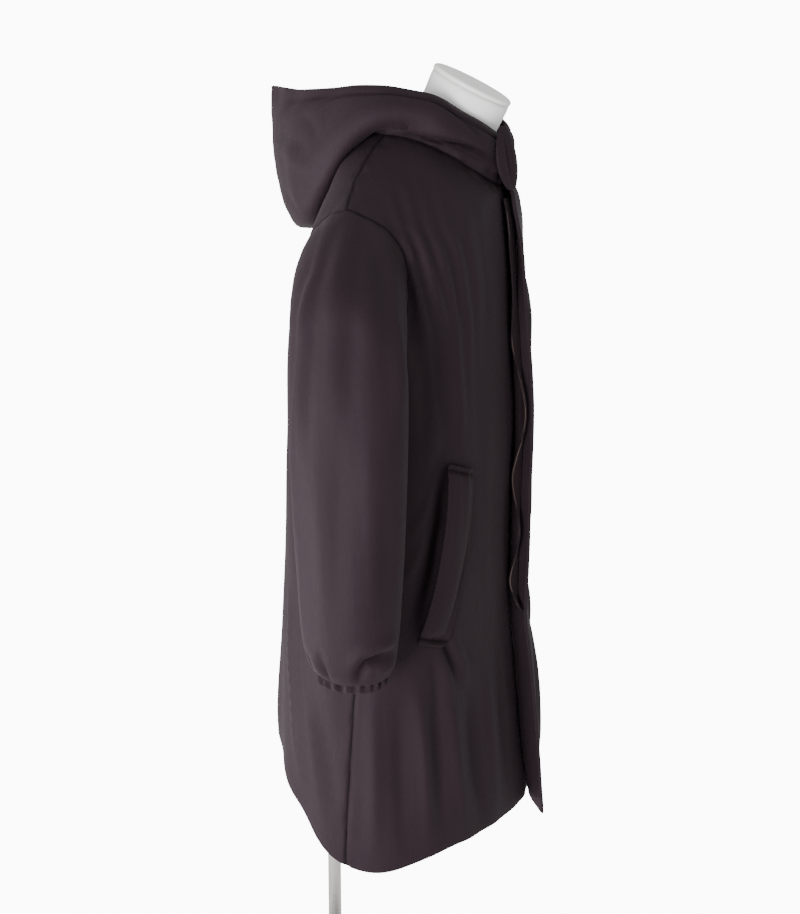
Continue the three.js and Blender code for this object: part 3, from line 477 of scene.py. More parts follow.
# FRONTS
# The right front hangs under the fly: drag folds run from the shoulder down past the armhole, the
# pocket pulls its mouth into a deep hollow, and the skirt falls in soft upright folds.
FRONT_FOLDS = [
    (-5.6, 12, 8, [(-191, -164, 1357), (-194, -184, 1336), (-198, -199, 1295), (-200, -206, 1241),
                   (-195, -207, 1153)]),
    (5.2, 9, 7, [(-166, -163, 1378), (-189, -189, 1336), (-194, -209, 1275), (-188, -218, 1203)]),
    (-4.6, 7, 9, [(-155, -168, 1386), (-183, -190, 1340), (-184, -219, 1267), (-163, -230, 1182),
                  (-164, -239, 1086)]),
    (4.0, 10, 7, [(-143, -174, 1393), (-174, -199, 1340), (-176, -224, 1277), (-154, -234, 1200)]),
    (-3.0, 8, 9, [(-138, -181, 1393), (-166, -206, 1340), (-168, -228, 1286), (-146, -239, 1212)]),
    (3.8, 11, 8, [(-131, -189, 1393), (-159, -214, 1340), (-157, -235, 1286), (-139, -244, 1211),
                 (-143, -250, 1097)]),
    (-3.2, 8, 10, [(-126, -197, 1390), (-151, -221, 1339), (-144, -239, 1285), (-130, -247, 1216),
                  (-129, -253, 1121)]),
    (2.2, 9, 8, [(-121, -209, 1385), (-140, -230, 1339), (-128, -245, 1284), (-118, -252, 1209),
                 (-123, -258, 1067)]),
    (-2.1, 8, 9, [(-117, -219, 1378), (-128, -237, 1339), (-116, -250, 1283), (-106, -255, 1208),
                  (-112, -261, 1092)]),
    (1.6, 12, 9, [(-104, -228, 1380), (-112, -246, 1333), (-98, -255, 1272), (-90, -261, 1168)]),
    (-1.6, 10, 11, [(-92, -237, 1377), (-89, -253, 1327), (-74, -260, 1244), (-79, -266, 1140)]),
    (-3.9, 12, 9, [(-167, -227, 1195), (-161, -236, 1125), (-163, -241, 1054)]),
    (4.2, 13, 9, [(-149, -238, 1220), (-144, -248, 1123), (-138, -252, 1050)]),
    (2.3, 16, 12, [(-89, -267, 1089), (-79, -268, 978), (-81, -268, 839)]),
    (-3.9, 12, 10, [(-193, -214, 1216), (-184, -216, 1152), (-190, -219, 1077)]),
    (-13.0, 14, 20, [(-165, -241, 1042), (-170, -239, 970), (-185, -232, 906), (-206, -222, 844),
                     (-214, -216, 818)]),
    (-3.9, 9, 8, [(-165, -239, 1074), (-177, -233, 1036), (-195, -221, 994)]),
    (4.4, 10, 9, [(-169, -238, 1050), (-190, -226, 990), (-214, -208, 948)]),
    (4.7, 10, 10, [(-188, -229, 965), (-207, -217, 923), (-224, -201, 890)]),
    (-7.5, 6, 7, [(-183, -239, 834), (-176, -243, 808), (-168, -249, 782), (-161, -254, 755)]),
    (4.8, 7, 9, [(-187, -239, 796), (-182, -242, 780), (-177, -246, 762), (-174, -250, 732)]),
    (6.2, 9, 8, [(-166, -247, 815), (-155, -253, 790), (-146, -258, 769), (-138, -263, 740)]),
    (-3.1, 7, 8, [(-196, -233, 800), (-194, -238, 755), (-193, -244, 706)]),
    (-3.4, 9, 8, [(-215, -216, 820), (-225, -207, 805), (-236, -198, 780)]),
    (-4.9, 13, 12, [(-234, -204, 750), (-238, -208, 649), (-242, -213, 538)]),
    (6.6, 13, 10, [(-216, -222, 753), (-216, -230, 657), (-219, -238, 539)]),
    (-7.4, 12, 12, [(-197, -237, 748), (-198, -246, 652), (-200, -256, 548)]),
    (8.4, 15, 11, [(-176, -250, 745), (-172, -262, 630), (-168, -273, 546)]),
    (-7.4, 14, 13, [(-139, -264, 731), (-138, -273, 631), (-133, -283, 551)]),
    (6.2, 16, 12, [(-94, -272, 758), (-95, -281, 659), (-93, -293, 557)]),
    (-3.9, 10, 10, [(-56, -275, 775), (-57, -286, 660), (-54, -300, 548)]),
    (-1.8, 5, 5, [(-24, -268, 1150), (-22, -270, 880), (-20, -281, 732), (-20, -296, 560)]),
    (4.4, 11, 11, [(-250, -172, 744), (-256, -176, 650), (-260, -178, 533)]),
]
# Painted shade in the pocket's mouth behind the welt and in the crease at the welt's foot: a shade in
# thousandths, widths and a path, as for folds.
POCKET_MOUTH_SHADE = [
    (950, 4, 13, [(-165, -242, 1040), (-169, -240, 970), (-183, -234, 906), (-203, -224, 850),
                 (-212, -219, 818)]),
    (980, 4.5, 3.5, [(-183, -240, 836), (-176, -244, 808), (-168, -249, 782), (-163, -252, 763)]),
]
shell_panel(
    "front_right",
    "panel_front_right",
    FRONT_FOLDS,
    seed=5,
    flat_uv=round_body(-1),
    hollow_shade=POCKET_MOUTH_SHADE,
    against=(1, 0.0, 1.0),
)

# The left front carries the fly flap, which stands forward of the right front down its whole length.
LEAST_SHARE, SHARE_SPREAD, HEIGHT_STEP = 0.75, 0.5, 9


def mirrored(rows, factor, shift=(0, 0, 0)):
    """The same folds on the other side of the coat, each with its own share of the height and moved a
    little, so that the sides differ."""
    moved = []
    for i, (height, wide, narrow, path) in enumerate(rows):
        own = factor * (LEAST_SHARE + SHARE_SPREAD * ((i * 7) % 5) / 4)
        raised = shift[2] + HEIGHT_STEP * (i % 3 - 1)
        places = [(-x + shift[0], y + shift[1], z + raised) for x, y, z in path]
        moved.append((height * own, narrow, wide, places))
    return moved


FLAP_FOLDS = [
    (2.2, 20, 20, [(8, -292, 1210), (6, -300, 1120), (8, -298, 1020)]),
    (-2.2, 16, 16, [(6, -296, 1010), (6, -298, 980), (8, -298, 950)]),
    (2.4, 18, 18, [(8, -298, 930), (6, -300, 880), (8, -298, 830)]),
    (-2.0, 14, 14, [(4, -300, 800), (6, -298, 785), (10, -296, 765)]),
]
shell_panel(
    "front_left",
    "panel_front_left",
    mirrored(FRONT_FOLDS, 0.9) + FLAP_FOLDS,
    seed=7,
    flat_uv=round_body(-1),
    hollow_shade=mirrored(POCKET_MOUTH_SHADE, 1.2),
    against=(-1, 0.006, 0.034),
)

# SLEEVES
# Set-in sleeves that hang straight from a dropped armhole: long soft ridges fall from the seam down
# the outer side, and the cloth tucks in over the cuff.
SLEEVE_MIDDLE, SLEEVE_OFFSET, SLEEVE_RADIUS = -0.155, 0.02, 0.06


def round_sleeve(x):
    """UV of a point on a sleeve: arc length round its own axis from the outer side, and height."""
    sign = 1 if x > 0 else -1

    def flat(p):
        turn = np.arctan2(p[:, 1] - SLEEVE_MIDDLE, sign * (p[:, 0] - x) + SLEEVE_OFFSET)
        return np.stack([turn * SLEEVE_RADIUS, p[:, 2]], 1)

    return flat


SLEEVE_AXIS = 0.295
SLEEVE_FOLDS = [
    (4.0, 12, 9, [(-222, -108, 1345), (-282, -114, 1291), (-315, -112, 1205), (-329, -110, 1080)]),
    (-3.0, 10, 12, [(-226, -118, 1345), (-290, -124, 1285), (-321, -126, 1198), (-338, -128, 1070)]),
    (3.4, 14, 10, [(-221, -136, 1351), (-277, -144, 1303), (-318, -151, 1227), (-342, -159, 1112)]),
    (-2.4, 10, 12, [(-218, -147, 1348), (-275, -167, 1295), (-317, -177, 1216), (-339, -186, 1102)]),
    (-3.4, 16, 12, [(-217, -152, 1346), (-247, -183, 1303), (-291, -209, 1238), (-313, -221, 1120)]),
    (3.8, 12, 10, [(-210, -163, 1343), (-236, -192, 1302), (-272, -217, 1238), (-299, -230, 1130)]),
    (-2.6, 14, 13, [(-342, -172, 1101), (-347, -171, 1006), (-351, -174, 890)]),
    (2.6, 14, 14, [(-344, -146, 1050), (-349, -150, 934), (-351, -156, 850)]),
    (2.8, 13, 12, [(-332, -206, 1102), (-335, -209, 1007), (-335, -211, 890)]),
    (-2.4, 12, 11, [(-320, -222, 1010), (-322, -222, 920), (-322, -220, 870)]),
    (2.4, 12, 13, [(-336, -112, 1000), (-338, -116, 900), (-338, -124, 840)]),
    (-10.5, 7, 6, [(-306, -228, 836), (-320, -221, 836), (-332, -213, 834), (-341, -203, 831),
                  (-344, -196, 820), (-341, -191, 803)]),
    (7.0, 9, 8, [(-306, -230, 850), (-322, -222, 850), (-336, -213, 848), (-346, -200, 842),
                 (-350, -186, 826)]),
    (4.4, 7, 7, [(-306, -226, 821), (-320, -219, 820), (-332, -211, 816)]),
    (-3.4, 5, 5, [(-347, -146, 838), (-345, -150, 820), (-341, -156, 803)]),
    (2.6, 7, 7, [(-344, -132, 838), (-340, -140, 820), (-336, -146, 806)]),
    (-3.0, 5, 5, [(-330, -120, 832), (-328, -130, 805)]),
    (2.4, 14, 12, [(-262, -190, 1180), (-258, -200, 1080), (-262, -206, 960)]),
    (-2.4, 12, 14, [(-262, -120, 1160), (-256, -118, 1050), (-262, -120, 930)]),
]
# Painted shade in the crease where the cloth tucks in over the cuff, and in a short crease beside it.
SLEEVE_TUCK_SHADE = [
    (900, 4.5, 3.5, [(-320, -221, 836), (-332, -213, 834), (-341, -203, 831), (-344, -196, 820),
                     (-341, -191, 803)]),
    (650, 3.0, 3.0, [(-345, -150, 824), (-341, -156, 803)]),
]
LEFT_SLEEVE_FOLDS = mirrored(SLEEVE_FOLDS, 0.95, (0, 20, 0))
LEFT_SLEEVE_TUCK_SHADE = mirrored(SLEEVE_TUCK_SHADE, 0.9, (0, 24, 0))
for side, rows, tuck_shade, axis, seed in (
    ("right", SLEEVE_FOLDS, SLEEVE_TUCK_SHADE, -SLEEVE_AXIS, 11),
    ("left", LEFT_SLEEVE_FOLDS, LEFT_SLEEVE_TUCK_SHADE, SLEEVE_AXIS, 13),
):
    shell_panel(
        f"sleeve_{side}",
        f"panel_sleeve_{side}",
        rows,
        seed=seed,
        flat_uv=round_sleeve(axis),
        hollow_shade=tuck_shade,
    )

# HOOD
# Two halves with a seam over the back of the head, laid back in a roll: a broad ridge runs along the
# lower edge over the shoulder, and a soft crease falls from the peak.
HOOD_CASING = 0.012


def over_hood(p):
    """UV of a point on the hood: distance back along it, and height less its spread to the side."""
    return np.stack([p[:, 1], p[:, 2] - np.abs(p[:, 0])], 1)


HOOD_FOLDS = [
    (4.0, 20, 16, [(-88, -212, 1478), (-97, -190, 1489), (-118, -143, 1492), (-127, -99, 1476),
                   (-113, -40, 1438), (-83, 6, 1403)]),
    (-6.0, 4, 5, [(-89, -148, 1455), (-88, -164, 1454), (-83, -180, 1450), (-78, -199, 1446),
                  (-73, -222, 1441), (-59, -239, 1434), (-40, -251, 1425)]),
    (4.6, 9, 8, [(-88, -140, 1464), (-95, -167, 1462), (-93, -186, 1459), (-87, -206, 1456),
                 (-76, -226, 1452), (-60, -242, 1445), (-46, -251, 1437)]),
    (-4.0, 5, 5, [(-90, -150, 1462), (-97, -158, 1468), (-104, -160, 1474)]),
    (-1.8, 4, 4, [(-93, -181, 1501), (-84, -205, 1488), (-74, -226, 1471), (-58, -244, 1451),
                  (-46, -251, 1441)]),
    (-2.4, 12, 10, [(-94, -191, 1492), (-107, -160, 1500), (-117, -127, 1501), (-119, -92, 1494),
                    (-113, -58, 1482)]),
    (-3.6, 12, 9, [(-14, 76, 1500), (-80, 2, 1503), (-100, -40, 1509)]),
    (2.8, 12, 10, [(-16, 74, 1484), (-70, 16, 1484), (-104, -36, 1490)]),
    (-3.4, 8, 9, [(-12, 72, 1462), (-40, 52, 1456), (-72, 21, 1449), (-97, -14, 1444)]),
    (2.4, 11, 10, [(-40, 48, 1442), (-80, 8, 1424), (-104, -26, 1410)]),
    (-2.2, 9, 9, [(-83, 0, 1487), (-102, -26, 1466), (-112, -39, 1448)]),
    (-2.2, 10, 10, [(-25, 57, 1381), (-59, 26, 1369), (-70, 6, 1349)]),
    (-1.6, 5, 5, [(-75, -195, 1435), (-67, -213, 1425), (-54, -229, 1413), (-39, -243, 1402)]),
]
# Painted shade in the gap under the roll's lower edge, in a small dimple above it and along a fine
# crease.
HOOD_SHADE = [
    (950, 4.0, 7.0, [(-89, -140, 1455), (-88, -164, 1454), (-83, -180, 1450), (-78, -199, 1446),
                     (-73, -222, 1441), (-59, -239, 1434), (-36, -253, 1424)]),
    (800, 2.0, 2.0, [(-90, -150, 1460), (-96, -158, 1466), (-102, -160, 1471)]),
    (600, 2.4, 2.4, [(-93, -181, 1501), (-84, -205, 1488), (-74, -226, 1471), (-58, -244, 1451),
                     (-46, -251, 1441)]),
]
for side, rows, hood_shade_lines, seed in (
    ("right", HOOD_FOLDS, HOOD_SHADE, 19),
    ("left", mirrored(HOOD_FOLDS, 0.9), mirrored(HOOD_SHADE, 1.0), 23),
):
    shell_panel(
        f"hood_{side}",
        f"panel_hood_{side}",
        rows,
        seed=seed,
        flat_uv=over_hood,
        hollow_shade=hood_shade_lines,
        casing=HOOD_CASING,
    )

# CUFFS
# A short elastic casing in each sleeve's end, gathered so that its cloth stands in small upright
# waves, puffed between the two rows of stitches.
CUFF_WAVES, CUFF_SIDES, CUFF_ROWS = 19, 416, 14
CUFF_TOP, CUFF_FOOT = 0.7985, 0.7842
CUFF_HALF_WIDTH, CUFF_HALF_DEPTH = 0.036, 0.044
CUFF_INSET, CUFF_TAPER, CUFF_WALL = 0.0010, 0.0028, 0.0026
CUFF_BELLY, BELLY_FULLNESS = 0.0016, 0.6
WAVE_DEPTH, WAVE_BELLY, FOOT_WAVE = 0.0007, 0.0016, 0.0006
UNEVEN_PLACES, UNEVEN_LEAST, UNEVEN_MOST = 40, 0.4, 1.7
CROWD_SHIFT, CROWD_PLACES = 1.3, 3
CUFF_LOOK = shell_cloth("cuff_cloth", (0.0125, 0.0080, 0.0104), (0.0176, 0.0116, 0.0148), 0.62, 0.02)


def gathered_ring(name, x, y, seed):
    """Closed ring of gathered cloth: down the outside and up the inside, the radius waves round the
    opening, most at mid height. The waves crowd in a few places and differ by a seeded amount each."""
    rng = np.random.default_rng(seed)
    turn = np.linspace(0, 2 * math.pi, CUFF_SIDES, endpoint=False)
    places = np.linspace(0, 2 * math.pi, UNEVEN_PLACES)
    uneven = np.interp(turn, places, rng.uniform(UNEVEN_LEAST, UNEVEN_MOST, UNEVEN_PLACES))
    wave = np.cos(turn * CUFF_WAVES + CROWD_SHIFT * np.sin(turn * CROWD_PLACES)) * uneven
    rings = []
    for k in range(2 * CUFF_ROWS):
        outside = k < CUFF_ROWS
        v = (k % CUFF_ROWS) / (CUFF_ROWS - 1)
        down = v if outside else 1 - v
        belly = math.sin(math.pi * down) ** BELLY_FULLNESS
        inset = CUFF_INSET + CUFF_TAPER * down
        reach = CUFF_BELLY * belly - inset if outside else -inset - CUFF_WALL
        depth = (WAVE_DEPTH + WAVE_BELLY * belly) * wave
        z = CUFF_TOP + (CUFF_FOOT - CUFF_TOP) * down + FOOT_WAVE * wave * down
        rings.append(np.stack([
            x + (CUFF_HALF_WIDTH + reach + depth) * np.cos(turn),
            y - (CUFF_HALF_DEPTH + reach + depth) * np.sin(turn),
            z + 0 * turn,
        ], 1))
    co = np.concatenate(rings)
    row = np.arange(2 * CUFF_ROWS)[:, None] * CUFF_SIDES
    col = np.arange(CUFF_SIDES)[None]
    here, there = row + col, row + (col + 1) % CUFF_SIDES
    below, beyond = np.roll(here, -1, 0), np.roll(there, -1, 0)
    faces = np.stack([here, below, beyond, there], -1).reshape(-1, 4)
    flat = np.stack([np.tile(turn * SLEEVE_RADIUS, 2 * CUFF_ROWS), co[:, 2]], 1)
    obj = mesh_object(name, co, faces, flat)
    obj.data.materials.append(CUFF_LOOK)
    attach(obj, "root")
    return obj


# Side, place of the middle in X and Y, and seed.
CUFF_PLACES = (("right", -0.303, -0.168, 31), ("left", 0.303, -0.144, 37))
for side, x, y, seed in CUFF_PLACES:
    cuff = gathered_ring(f"gathered_cuff_{side}", x, y, seed)
    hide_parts(f"cuff_{side}")

# POCKET WELTS
# A padded strip on each front, slanted back towards its foot, sewn flat at both ends by a short bar
# and along its front edge; its back edge stands open over the pocket's mouth.
WELT_THICKNESS, WELT_PUFF = 0.005, 0.0052
WELT_ENDS = (0.8205, 1.0345)
WELT_BOW, WELT_TILT = (0.0115, 0.0058), 0.3
STRIP_WAVES = (41, (0.03, 0.03, 0.09), 0.0006)
# Width of a row of stitches, and the painted shade along it.
STITCH_WIDTH, STITCH_SHADE = 0.0024, 0.75
STITCH_SINK, SINK_REACH = 0.0026, 0.0060
STITCH_PUCKERS, STITCH_REACH = (43, (0.012, 0.012, 0.06), 0.0008), 0.018
STITCHED_RISE, PLAIN_RISE = 0.009, 0.02
WELT_LOOK = shell_cloth("welt_cloth", (0.0132, 0.0085, 0.0107), (0.0185, 0.0121, 0.0151), 0.6, 0.02)


def padded_strip(
    node, name, surface, puff, look, rows=(), bow=(0, 0), tilt=0.0, creases=()
):
    """A small padded strip: the skin of its CAD wall, crowned between its edges. Its middle and its foot
    shift towards the coat's front by `bow`, its front edge sinks by `tilt` times its width, and a row of
    stitches sinks across it at each height of `rows`, with painted shade on it and small puckers beside
    it."""
    nothing = np.zeros((0, 3))
    height = surface["points"][:, 2]
    share = (height - height.min()) / np.ptp(height)
    along = unit(surface["out"] @ np.array([[0, 1, 0], [-1, 0, 0], [0, 0, 0]]))
    forward = along * -np.sign(along[:, 1:2])
    shift = bow[0] * np.sin(math.pi * share) + bow[1] * (1 - share)
    ahead = surface["points"] @ forward.mean(0)
    across = ahead - np.polyval(np.polyfit(height, ahead, 3), height)
    surface["points"] = surface["points"] + forward * shift[:, None]
    surface["points"][:, 2] -= tilt * (across - across.min())
    border = surface["border"]
    border_share = (border[:, 2] - height.min()) / np.ptp(height)
    border_shift = bow[0] * np.sin(math.pi * border_share) + bow[1] * (1 - border_share)
    surface["border"] = border + forward.mean(0) * border_shift[:, None]
    relief = waves(surface["points"], *STRIP_WAVES)
    relief += folds(surface["points"], surface["out"], creases)
    stitched = np.zeros(len(height))
    for z in rows:
        stitched = np.maximum(stitched, np.exp(-(((height - z) / STITCH_WIDTH) ** 2)))
        relief -= STITCH_SINK * np.exp(-(((height - z) / SINK_REACH) ** 2))
        near = np.exp(-(((height - z) / STITCH_REACH) ** 2))
        relief += waves(surface["points"], *STITCH_PUCKERS) * near
    obj = sewn_wall(
        name,
        surface,
        relief,
        puff,
        0.0,
        nothing,
        surface["border"],
        round_body(-1),
        rise=STITCHED_RISE if rows else PLAIN_RISE,
        shade=STITCH_SHADE * stitched,
    )
    obj.data.materials.append(look)
    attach(obj, "root")
    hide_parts(node)


for side in ("right", "left"):
    padded_strip(
        f"welt_{side}",
        f"pocket_welt_{side}",
        skin(f"welt_{side}", WELT_THICKNESS, inside=(0, -0.13, 0.93), levels=3),
        puff=WELT_PUFF,
        look=WELT_LOOK,
        rows=WELT_ENDS,
        bow=WELT_BOW,
        tilt=WELT_TILT,
    )

# FLY STRIP
# The inner strip that carries the snaps, behind the flap, coloured darker than the shell cloth as painted
# shade for its place there. Its free edge waves between the snaps and is bound with a piping, paler than
# the cloth partly in its own colour and partly as a painted highlight of its edge catching the light.
FLY_THICKNESS = 0.003
# Darker than the shell cloth: painted shade of the strip's place behind the flap.
FLY_SHADED_LOOK = shell_cloth("fly_cloth_painted_shade", (0.0088, 0.0054, 0.0068), (0.0125, 0.0078, 0.0096), 0.55, 0.04)
FLY_SURFACE = skin("fly_strip", FLY_THICKNESS, inside=(-0.3, -0.13, 1.06), levels=2)
padded_strip(
    "fly_strip",
    "fly_strip_cloth",
    FLY_SURFACE,
    puff=0.0,
    look=FLY_SHADED_LOOK,
)
# Paler than the cloth: partly the piping's own colour, partly painted highlight of its edge catching the
# light.
PIPING_TONE_AND_HIGHLIGHT = shell_cloth("piping_cloth_and_highlight", (0.050, 0.037, 0.030), (0.072, 0.054, 0.044), 0.5, 0.1)
PIPING_RADIUS, PIPING_ROWS, PIPING_SIDES = 0.0011, 240, 10
EDGE_STEP, PIPING_INSET = 0.003, 0.004
SMOOTH_WIDTH = 11
TIP_SHARE, TIP_ROWS = 0.25, 3


def piping(name, surface, radius, rows, sides):
    """A thin round cord of cloth along the strip's free edge: the border points nearest the wearer's
    right are read off by height, smoothed, and carry rings that close to a point at both ends."""
    points = surface["points"]
    level = np.round(points[:, 2] / EDGE_STEP).astype(int)
    edge = np.array([points[level == k][points[level == k][:, 0].argmin()] for k in np.unique(level)])
    height = np.linspace(edge[0, 2] + PIPING_INSET, edge[-1, 2] - PIPING_INSET, rows)
    line = np.stack([np.interp(height, edge[:, 2], edge[:, k]) for k in range(3)], 1)
    kernel = np.hanning(SMOOTH_WIDTH) / np.hanning(SMOOTH_WIDTH).sum()
    ends = (SMOOTH_WIDTH // 2, SMOOTH_WIDTH // 2)
    padded = np.pad(line, (ends, (0, 0)), mode="reflect", reflect_type="odd")
    line = np.stack([np.convolve(padded[:, k], kernel, "valid") for k in range(3)], 1)
    turn = np.linspace(0, 2 * math.pi, sides, endpoint=False)
    from_tip = np.minimum(np.arange(rows), np.arange(rows)[::-1])
    size = radius * np.minimum(1, TIP_SHARE + from_tip / TIP_ROWS)
    run = unit(np.gradient(line, axis=0))
    first = unit(np.cross(run, [1.0, 0, 0]))
    second = np.cross(run, first)
    ring = first[:, None] * np.cos(turn)[None, :, None] + second[:, None] * np.sin(turn)[None, :, None]
    co = (line[:, None] + ring * size[:, None, None]).reshape(-1, 3)
    row = np.arange(rows - 1)[:, None] * sides
    col = np.arange(sides)[None]
    here, there = row + col, row + (col + 1) % sides
    faces = np.stack([here, there, there + sides, here + sides], -1).reshape(-1, 4)
    half = np.arange(sides // 2 - 1)
    low = np.stack([half, sides - 1 - half, sides - 2 - half, half + 1], 1)
    high = (low + (rows - 1) * sides)[:, ::-1]
    return mesh_object(name, co, np.concatenate([faces, low, high]))


cord = piping("fly_piping", FLY_SURFACE, PIPING_RADIUS, PIPING_ROWS, PIPING_SIDES)
cord.data.materials.append(PIPING_TONE_AND_HIGHLIGHT)
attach(cord, "root")
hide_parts("fly_strip")

# COLLAR TAB
# The padded tab that tops the fly flap and stands in front of the hood's ends. Two layers of the
# shell cloth, sewn on along the left hood half; its other end lies free in front of the right one.
TAB_THICKNESS, TAB_PUFF = 0.005, 0.0009
TAB_CREASES = [
    (-3.0, 3.5, 3.5, [(-22, -264, 1458), (-21, -268, 1430), (-16, -272, 1396)]),
    (1.8, 6, 6, [(-30, -262, 1446), (-30, -265, 1420), (-24, -270, 1396)]),
    (1.6, 6, 6, [(-12, -271, 1446), (-10, -273, 1420), (-8, -275, 1396)]),
]
padded_strip(
    "collar_tab",
    "collar_tab_cloth",
    skin("collar_tab", TAB_THICKNESS, inside=(0, -0.13, 1.42), levels=3),
    puff=TAB_PUFF,
    look=WELT_LOOK,
    creases=TAB_CREASES,
)

# DRESS FORM AND ITS CAP
# A limbless form with a smooth white skin, and a flat oval cap on its neck. The coat hangs on the
# form's shoulders.
FORM_FLATTEST, SHARP_ANGLE, SHARP_CREASE = 0.3, 0.75, 0.9
FORM_LEVELS, CAP_BEVEL, BEVEL_STEPS = 2, 0.0008, 3


def smooth_copy(node, name, bevel=0.0):
    """Copy of a CAD node with its triangles merged and divided smoothly, and with its sharp edges
    rounded by `bevel` where one is given."""
    bm = bmesh.new()
    bm.from_mesh(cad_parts[node].data)
    bmesh.ops.remove_doubles(bm, verts=bm.verts, dist=SAME_POINT)
    bmesh.ops.join_triangles(
        bm,
        faces=bm.faces,
        angle_face_threshold=FORM_FLATTEST,
        angle_shape_threshold=SQUAREST_JOIN,
    )
    crease = bm.edges.layers.float.new("crease_edge")
    for edge in bm.edges:
        edge[crease] = SHARP_CREASE if edge.calc_face_angle(0.0) > SHARP_ANGLE else 0.0
    mesh = bpy.data.meshes.new(name)
    bm.to_mesh(mesh)
    bm.free()
    mesh.polygons.foreach_set("use_smooth", np.ones(len(mesh.polygons), bool))
    obj = bpy.data.objects.new(name, mesh)
    bpy.context.scene.collection.objects.link(obj)
    if bevel:
        edge = obj.modifiers.new("edge", "BEVEL")
        edge.width, edge.segments, edge.limit_method = bevel, BEVEL_STEPS, "ANGLE"
    divide = obj.modifiers.new("divide", "SUBSURF")
    divide.levels = divide.render_levels = FORM_LEVELS
    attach(obj, "root")
    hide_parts(node)
    return obj


FORM_SHADE = 0.97


def form_skin(name, tone):
    """Smooth matt white skin with a faint unevenness and a very fine grain."""
    made = bpy.data.materials.new(name)
    made.use_nodes = True
    tree = made.node_tree
    bsdf = tree.nodes["Principled BSDF"]
    bsdf.inputs["Roughness"].default_value = 0.55
    place = shader(tree, "ShaderNodeTexCoord")
    cloud = shader(tree, "ShaderNodeTexNoise", Scale=6.0, Detail=3.0)
    link(tree, place.outputs["Object"], cloud.inputs["Vector"])
    mix = shader(tree, "ShaderNodeMix", data_type="RGBA")
    mix.inputs["A"].default_value = (*[c * FORM_SHADE for c in tone], 1)
    mix.inputs["B"].default_value = (*tone, 1)
    link(tree, cloud.outputs["Fac"], mix.inputs["Factor"])
    link(tree, mix.outputs["Result"], bsdf.inputs["Base Color"])
    grain = shader(tree, "ShaderNodeTexNoise", Scale=900.0, Detail=2.0)
    link(tree, place.outputs["Object"], grain.inputs["Vector"])
    bump = shader(tree, "ShaderNodeBump", Strength=0.25, Distance=0.0001)
    link(tree, grain.outputs["Fac"], bump.inputs["Height"])
    link(tree, bump.outputs["Normal"], bsdf.inputs["Normal"])
    return made


FORM_LOOK = form_skin("form_white", (0.90, 0.895, 0.885))
CAP_LOOK = form_skin("cap_white", (0.87, 0.86, 0.845))
form = smooth_copy("dress_form", "form_body")
form.data.materials.append(FORM_LOOK)
cap = smooth_copy("neck_cap", "form_neck_cap", CAP_BEVEL)
cap.data.materials.append(CAP_LOOK)

# STAND
# A bright steel pole in a short socket on a round steel base plate with a rounded edge. The socket is
# fixed on the plate, and the pole carries the form.
PLATE_TOP, STAND_FOOT = 0.010, 0.0103
POLE_RADIUS, POLE_TOP = 0.010, 0.8617
BORE_RADIUS, SOCKET_TOP = 0.0103, 0.06
SCRATCH_SCALE, SCRATCH_SPREAD = (40, 40, 900), 0.08


def turned(name, profile, sides=128):
    """Body of revolution about the pole's axis through a closed profile of radius and height."""
    turn = np.linspace(0, 2 * math.pi, sides, endpoint=False)
    rows = np.array(profile)
    co = np.stack([
        rows[:, :1] * np.cos(turn),
        rows[:, :1] * np.sin(turn),
        rows[:, 1:] + 0 * turn,
    ], -1).reshape(-1, 3)
    row = np.arange(len(rows))[:, None] * sides
    col = np.arange(sides)[None]
    here, there = row + col, row + (col + 1) % sides
    faces = np.stack([here, there, np.roll(there, -1, 0), np.roll(here, -1, 0)], -1).reshape(-1, 4)
    obj = mesh_object(name, co, faces)
    bm = bmesh.new()
    bm.from_mesh(obj.data)
    bmesh.ops.remove_doubles(bm, verts=bm.verts, dist=SAME_POINT)
    bmesh.ops.recalc_face_normals(bm, faces=bm.faces)
    bm.to_mesh(obj.data)
    bm.free()
    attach(obj, "root")
    return obj


def steel(name, tone, roughness):
    """Brushed steel: fine scratches across the height, in roughness and bump."""
    made = bpy.data.materials.new(name)
    made.use_nodes = True
    tree = made.node_tree
    bsdf = tree.nodes["Principled BSDF"]
    bsdf.inputs["Metallic"].default_value = 1.0
    bsdf.inputs["Base Color"].default_value = (*tone, 1)
    place = shader(tree, "ShaderNodeTexCoord")
    stretch = shader(tree, "ShaderNodeMapping")
    stretch.inputs["Scale"].default_value = SCRATCH_SCALE
    link(tree, place.outputs["Object"], stretch.inputs["Vector"])
    scratch = shader(tree, "ShaderNodeTexNoise", Scale=1.0, Detail=3.0)
    link(tree, stretch.outputs["Vector"], scratch.inputs["Vector"])
    rough = shader(tree, "ShaderNodeMapRange")
    rough.inputs["To Min"].default_value = roughness - SCRATCH_SPREAD
    rough.inputs["To Max"].default_value = roughness + SCRATCH_SPREAD
    link(tree, scratch.outputs["Fac"], rough.inputs["Value"])
    link(tree, rough.outputs["Result"], bsdf.inputs["Roughness"])
    bump = shader(tree, "ShaderNodeBump", Strength=0.2, Distance=0.00005)
    link(tree, scratch.outputs["Fac"], bump.inputs["Height"])
    link(tree, bump.outputs["Normal"], bsdf.inputs["Normal"])
    return made


